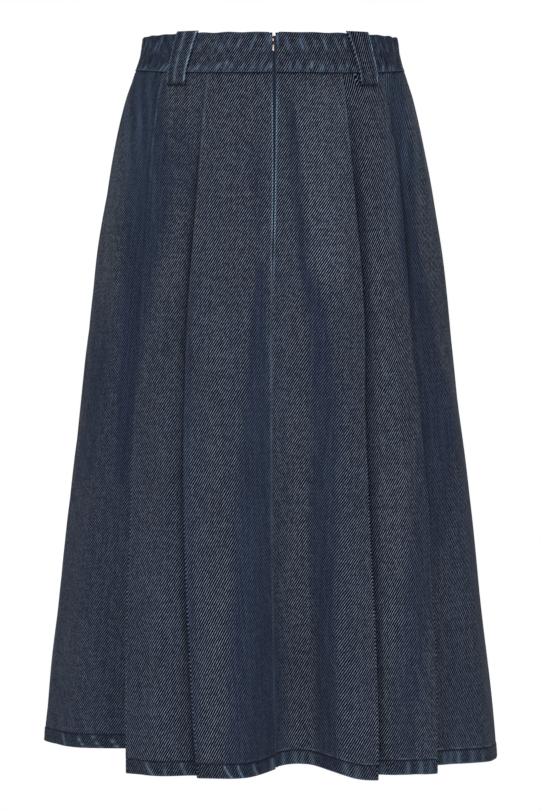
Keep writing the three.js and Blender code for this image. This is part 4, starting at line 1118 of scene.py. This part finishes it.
def twill_group():
    """Denim: dark warp with pale weft lines, faded where it is worn and plain where it turns away; its marks
    also paint shade, shadow and highlights onto it.
    """
    group = bpy.data.node_groups.new("denim twill", "ShaderNodeTree")
    socket(group, "Cut", "NodeSocketVector", "INPUT")
    for title in MARKS:
        socket(group, title, "NodeSocketFloat", "INPUT", 0.0)
    socket(group, "Contrast", "NodeSocketFloat", "INPUT", 1.0)
    socket(group, "Color", "NodeSocketColor", "OUTPUT")
    socket(group, "Roughness", "NodeSocketFloat", "OUTPUT")
    socket(group, "Height", "NodeSocketFloat", "OUTPUT")
    net = Net(group)
    given = net.node("NodeGroupInput").outputs
    result = net.node("NodeGroupOutput").inputs
    v, line, weft = twill_lines(net, given["Cut"], given["Reverse"])
    # slubs: long thin streaks along the warp and short ones along the weft
    warp_way = net.node("ShaderNodeMapping", {"Vector": given["Cut"], "Scale": (420.0, 9.0, 1.0)})
    weft_way = net.node("ShaderNodeMapping", {"Vector": given["Cut"], "Scale": (14.0, 520.0, 1.0)})
    slub = net.noise(warp_way.outputs[0], 1.0, 2.0)
    slub_weft = net.noise(weft_way.outputs[0], 1.0, 1.0)
    cloudy = net.noise(given["Cut"], 11.0, 4.0, 0.6)
    patch = net.ease(cloudy, 0.3, 0.7, 0.95, 1.05)
    streaky = net.math("MULTIPLY", net.ease(slub, 0.25, 0.75, 0.9, 1.1),
                       net.ease(slub_weft, 0.25, 0.75, 0.9, 1.1))
    tone = net.math("MULTIPLY", patch, streaky)
    plain = net.math("SUBTRACT", 1.0, net.math("MULTIPLY", given["Navy"], 0.68))
    strength = net.math("MULTIPLY", tone, given["Contrast"])
    amount = net.math("MULTIPLY", net.math("MULTIPLY", weft, plain), strength, clamp=True)
    navy = net.blend(net.ease(slub, 0.35, 0.75), WARP_NAVY, WARP_FADED)
    warp = net.blend(net.math("MAXIMUM", given["Navy"], 0.0), WARP_DARK, navy)
    face = net.blend(amount, warp, WEFT_PALE)
    beads = net.math("SINE", net.math("MULTIPLY", v, 2 * math.pi / (BEAD_SPACING * MM)))
    beads = net.math("MULTIPLY_ADD", net.math("MULTIPLY", beads, given["Seam"]), 0.85, 1.0)
    worn = net.math("MULTIPLY", given["Wear"], beads)
    worn_lines = net.math("MULTIPLY", worn, net.math("MULTIPLY_ADD", line, 0.6, 0.6), clamp=True)
    face = net.blend(worn_lines, face, net.blend(net.math("POWER", worn_lines, 2.5), FADED_BLUE, WORN_PALE))
    # the Dark mark: dark stitching, with painted shade and painted shadow in the pleats, under the waistband,
    # between its puckers and round the belt loops
    face = net.blend(given["Dark"], face, STITCH_AND_SHADE_NAVY)
    back = net.blend(net.math("MULTIPLY_ADD", weft, 0.7, 0.25, clamp=True), REVERSE_DARK, REVERSE_PALE)
    colour = net.blend(given["Reverse"], face, back)
    net.put(result["Color"], colour)
    net.put(result["Roughness"], net.math("MULTIPLY_ADD", weft, -0.08, 0.88))
    bulk = net.noise(given["Cut"], 55.0, 3.0)
    net.put(result["Height"], net.math("MULTIPLY_ADD", bulk, 1.6, net.math("MULTIPLY", weft, 0.8)))


def new_material(name):
    """A material, its net and its shader's sockets."""
    material = bpy.data.materials.new(name)
    material.use_nodes = True
    return material, Net(material.node_tree), material.node_tree.nodes["Principled BSDF"].inputs


def denim(name, contrast):
    """Denim for one group of pieces, with how strongly its pale lines show."""
    material, net, shader = new_material(name)
    weave = net.node("ShaderNodeGroup", node_tree=bpy.data.node_groups["denim twill"])
    net.put(weave.inputs["Cut"], net.node("ShaderNodeUVMap", uv_map="cut").outputs["UV"])
    for title in MARKS:
        mark = net.node("ShaderNodeAttribute", attribute_name=title.lower())
        net.put(weave.inputs[title], mark.outputs["Fac"])
    net.put(weave.inputs["Contrast"], contrast)
    net.fill(shader, {
        "Base Color": weave.outputs["Color"], "Roughness": weave.outputs["Roughness"],
        "Normal": net.bump(weave.outputs["Height"], 0.0003, 0.55),
        "Sheen Weight": 0.015, "Sheen Roughness": 0.4, "Specular IOR Level": 0.03})
    return material


def fibres(name, direction, scale, distortion, fluff, colours, relief, rough, gloss):
    """Ribbed or twisted fibres: bands that noise breaks up."""
    material, net, shader = new_material(name)
    place = net.node("ShaderNodeTexCoord").outputs["Object"]
    bands = net.node("ShaderNodeTexWave", {"Vector": place, "Scale": scale, "Distortion": distortion},
                     bands_direction=direction)
    shade = net.math("MULTIPLY", bands.outputs["Fac"], net.noise(place, *fluff, "3D"))
    net.fill(shader, {
        "Base Color": net.blend(shade, *colours), "Normal": net.bump(shade, relief),
        "Roughness": rough, "Specular IOR Level": gloss})
    return material


def metal_material():
    """Dull dark metal, with painted highlights where the slider's end and the tab would catch the light."""
    material, net, shader = new_material("zip metal")
    place = net.node("ShaderNodeTexCoord").outputs["Object"]
    rub = net.noise(place, 700.0, 3.0, 0.6, "3D")
    parts = net.node("ShaderNodeSeparateXYZ", {"Vector": place}).outputs
    up, aside = parts["Z"], net.math("ABSOLUTE", parts["X"])
    # painted highlights: two bands up the pull, only down its middle
    low = net.ease(up, 0.0085, 0.0065)
    high = net.math("MULTIPLY", net.ease(up, 0.0115, 0.012), net.ease(up, 0.0145, 0.014))
    glint = net.math("MULTIPLY", net.math("MAXIMUM", low, high), net.ease(aside, 0.0010, 0.0005))
    dull = net.blend(rub, srgb(24, 24, 32), srgb(46, 44, 52))
    net.fill(shader, {
        "Base Color": net.blend(glint, dull, srgb(172, 160, 160)),
        "Roughness": net.ease(rub, 0.3, 0.7, 0.25, 0.42), "Metallic": 1.0})
    return material


def paint(obj, material):
    obj.data.materials.clear()
    obj.data.materials.append(material)


# The stage


def aim(obj, place, target):
    obj.location = place
    obj.rotation_mode = "QUATERNION"
    obj.rotation_quaternion = (Vector(target) - Vector(place)).to_track_quat("-Z", "Y")


def camera():
    data = bpy.data.cameras.new("camera")
    data.lens = CAMERA_LENS
    data.clip_end = 100
    turn = math.radians(CAMERA_AZIMUTH)
    place = Vector((CAMERA_DISTANCE * math.sin(turn), -CAMERA_DISTANCE * math.cos(turn), CAMERA_LEVEL)) * MM
    bpy.context.scene.camera = add_object("camera", data)
    aim(bpy.context.scene.camera, place, Vector((0, 0, CAMERA_TARGET_LEVEL)) * MM)


def softbox(name, place, size, power):
    data = bpy.data.lights.new(name, "AREA")
    data.shape = "RECTANGLE"
    data.size, data.size_y = size
    data.energy = power
    aim(add_object(name, data), place, LIT_PLACE)


def backdrop():
    """White all round near eye level, dimmer above and below."""
    world = bpy.data.worlds.new("studio")
    bpy.context.scene.world = world
    world.use_nodes = True
    net = Net(world.node_tree)
    way = net.node("ShaderNodeTexCoord").outputs["Generated"]
    rise = net.math("ABSOLUTE", net.node("ShaderNodeSeparateXYZ", {"Vector": way}).outputs["Z"])
    net.fill(world.node_tree.nodes["Background"].inputs,
             {"Strength": net.ease(rise, 0.2, 0.5, 1.0, 0.3), "Color": (1, 1, 1, 1)})


def floor():
    mesh = bpy.data.meshes.new("floor")
    turns = [2 * math.pi * i / FLOOR_SIDES for i in range(FLOOR_SIDES)]
    rim = [(FLOOR_REACH * math.cos(turn), FLOOR_REACH * math.sin(turn), FLOOR_LEVEL) for turn in turns]
    mesh.from_pydata(rim, [], [tuple(range(FLOOR_SIDES))])
    obj = add_object("floor", mesh)
    material, net, shader = new_material("pale floor")
    net.fill(shader, {
        "Base Color": (0.9, 0.9, 0.9, 1), "Roughness": 0.9,
        "Emission Color": (1, 1, 1, 1), "Emission Strength": 0.35})
    paint(obj, material)


def stage():
    backdrop()
    softbox("key light", (-1.1, -4.5, 1.3), (1.5, 1.5), 115)
    softbox("fill light", (2.6, -3.0, 0.2), (1.6, 1.6), 16)
    softbox("far light", (0.9, 4.5, 1.6), (1.5, 1.5), 110)
    floor()
    bpy.context.scene.view_settings.view_transform = "Standard"


def dress(obj, node, material):
    """Lets a cloth piece stand in for its solid."""
    paint(obj, material)
    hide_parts(node)
    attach(obj, "skirt")


camera()
stage()
twill_group()
panel_denim = denim("denim panels", 0.5)
band_denim = denim("denim waistband", 0.48)

hem_paths = []
for node, band, (obj, widths, paths) in (
        ("skirt_back_left", "waistband_back_left", back_panel(-1)),
        ("skirt_back_right", "waistband_back_right", back_panel(1)),
        ("skirt_front", "waistband_front", front_panel())):
    hem_paths += paths
    dress(obj, node, panel_denim)

side_gap = math.degrees(SEAM_SHUT / float(ring(np.array(math.pi / 2), 0)[4]))
slit_turn = math.degrees(ZIP_SLIT_TOP / 2 / float(ring(np.array(0.0), 0)[4]))
BANDS = [
    ("waistband_back_left", -90 + side_gap, BACK_SEAM_SWAY[0] - slit_turn, "end"),
    ("waistband_back_right", BACK_SEAM_SWAY[0] + slit_turn, 90 - side_gap, "start"),
    ("waistband_front", 90 + side_gap, 270 - side_gap, None),
]
for node, low, high, notch in BANDS:
    obj, cuts = waistband("denim_" + node, low, high, notch)
    dress(obj, node, band_denim)

for loop in LOOPS:
    obj = belt_loop(loop)
    dress(obj, loop["name"], band_denim)

tape = fibres("zip tape", "Z", scale=320.0, distortion=0.4, fluff=(900.0, 1.0, 0.5),
              colours=(srgb(16, 20, 34), srgb(44, 52, 76)), relief=0.0002, rough=0.8, gloss=0.12)
metal = metal_material()
thread = fibres("dark thread", "DIAGONAL", scale=700.0, distortion=2.0, fluff=(1600.0, 2.0, 0.6),
                colours=(srgb(10, 13, 22), srgb(40, 47, 64)), relief=0.0001, rough=0.75, gloss=0.15)
row_tree()
loop_paths = [path for loop in LOOPS for path in loop_rows(loop)]
for name, paths, kind, uneven, finish, slot in (
        ("hem_stitches", hem_paths, STITCH, 0.12, thread, "denim"),
        ("loop_stitches", loop_paths, STITCH, 0.15, thread, "denim"),
        ("zip_teeth", coil_row(), TOOTH, 0.02, tape, "zip_tape")):
    obj = row_of(name, paths, kind, uneven, 7, finish)
    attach(obj, "skirt")

for node, material in (("zip_tape_left", tape), ("zip_tape_right", tape), ("zip_coil", tape),
                       ("zip_slider", metal), ("zip_pull", metal)):
    paint(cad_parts[node], material)
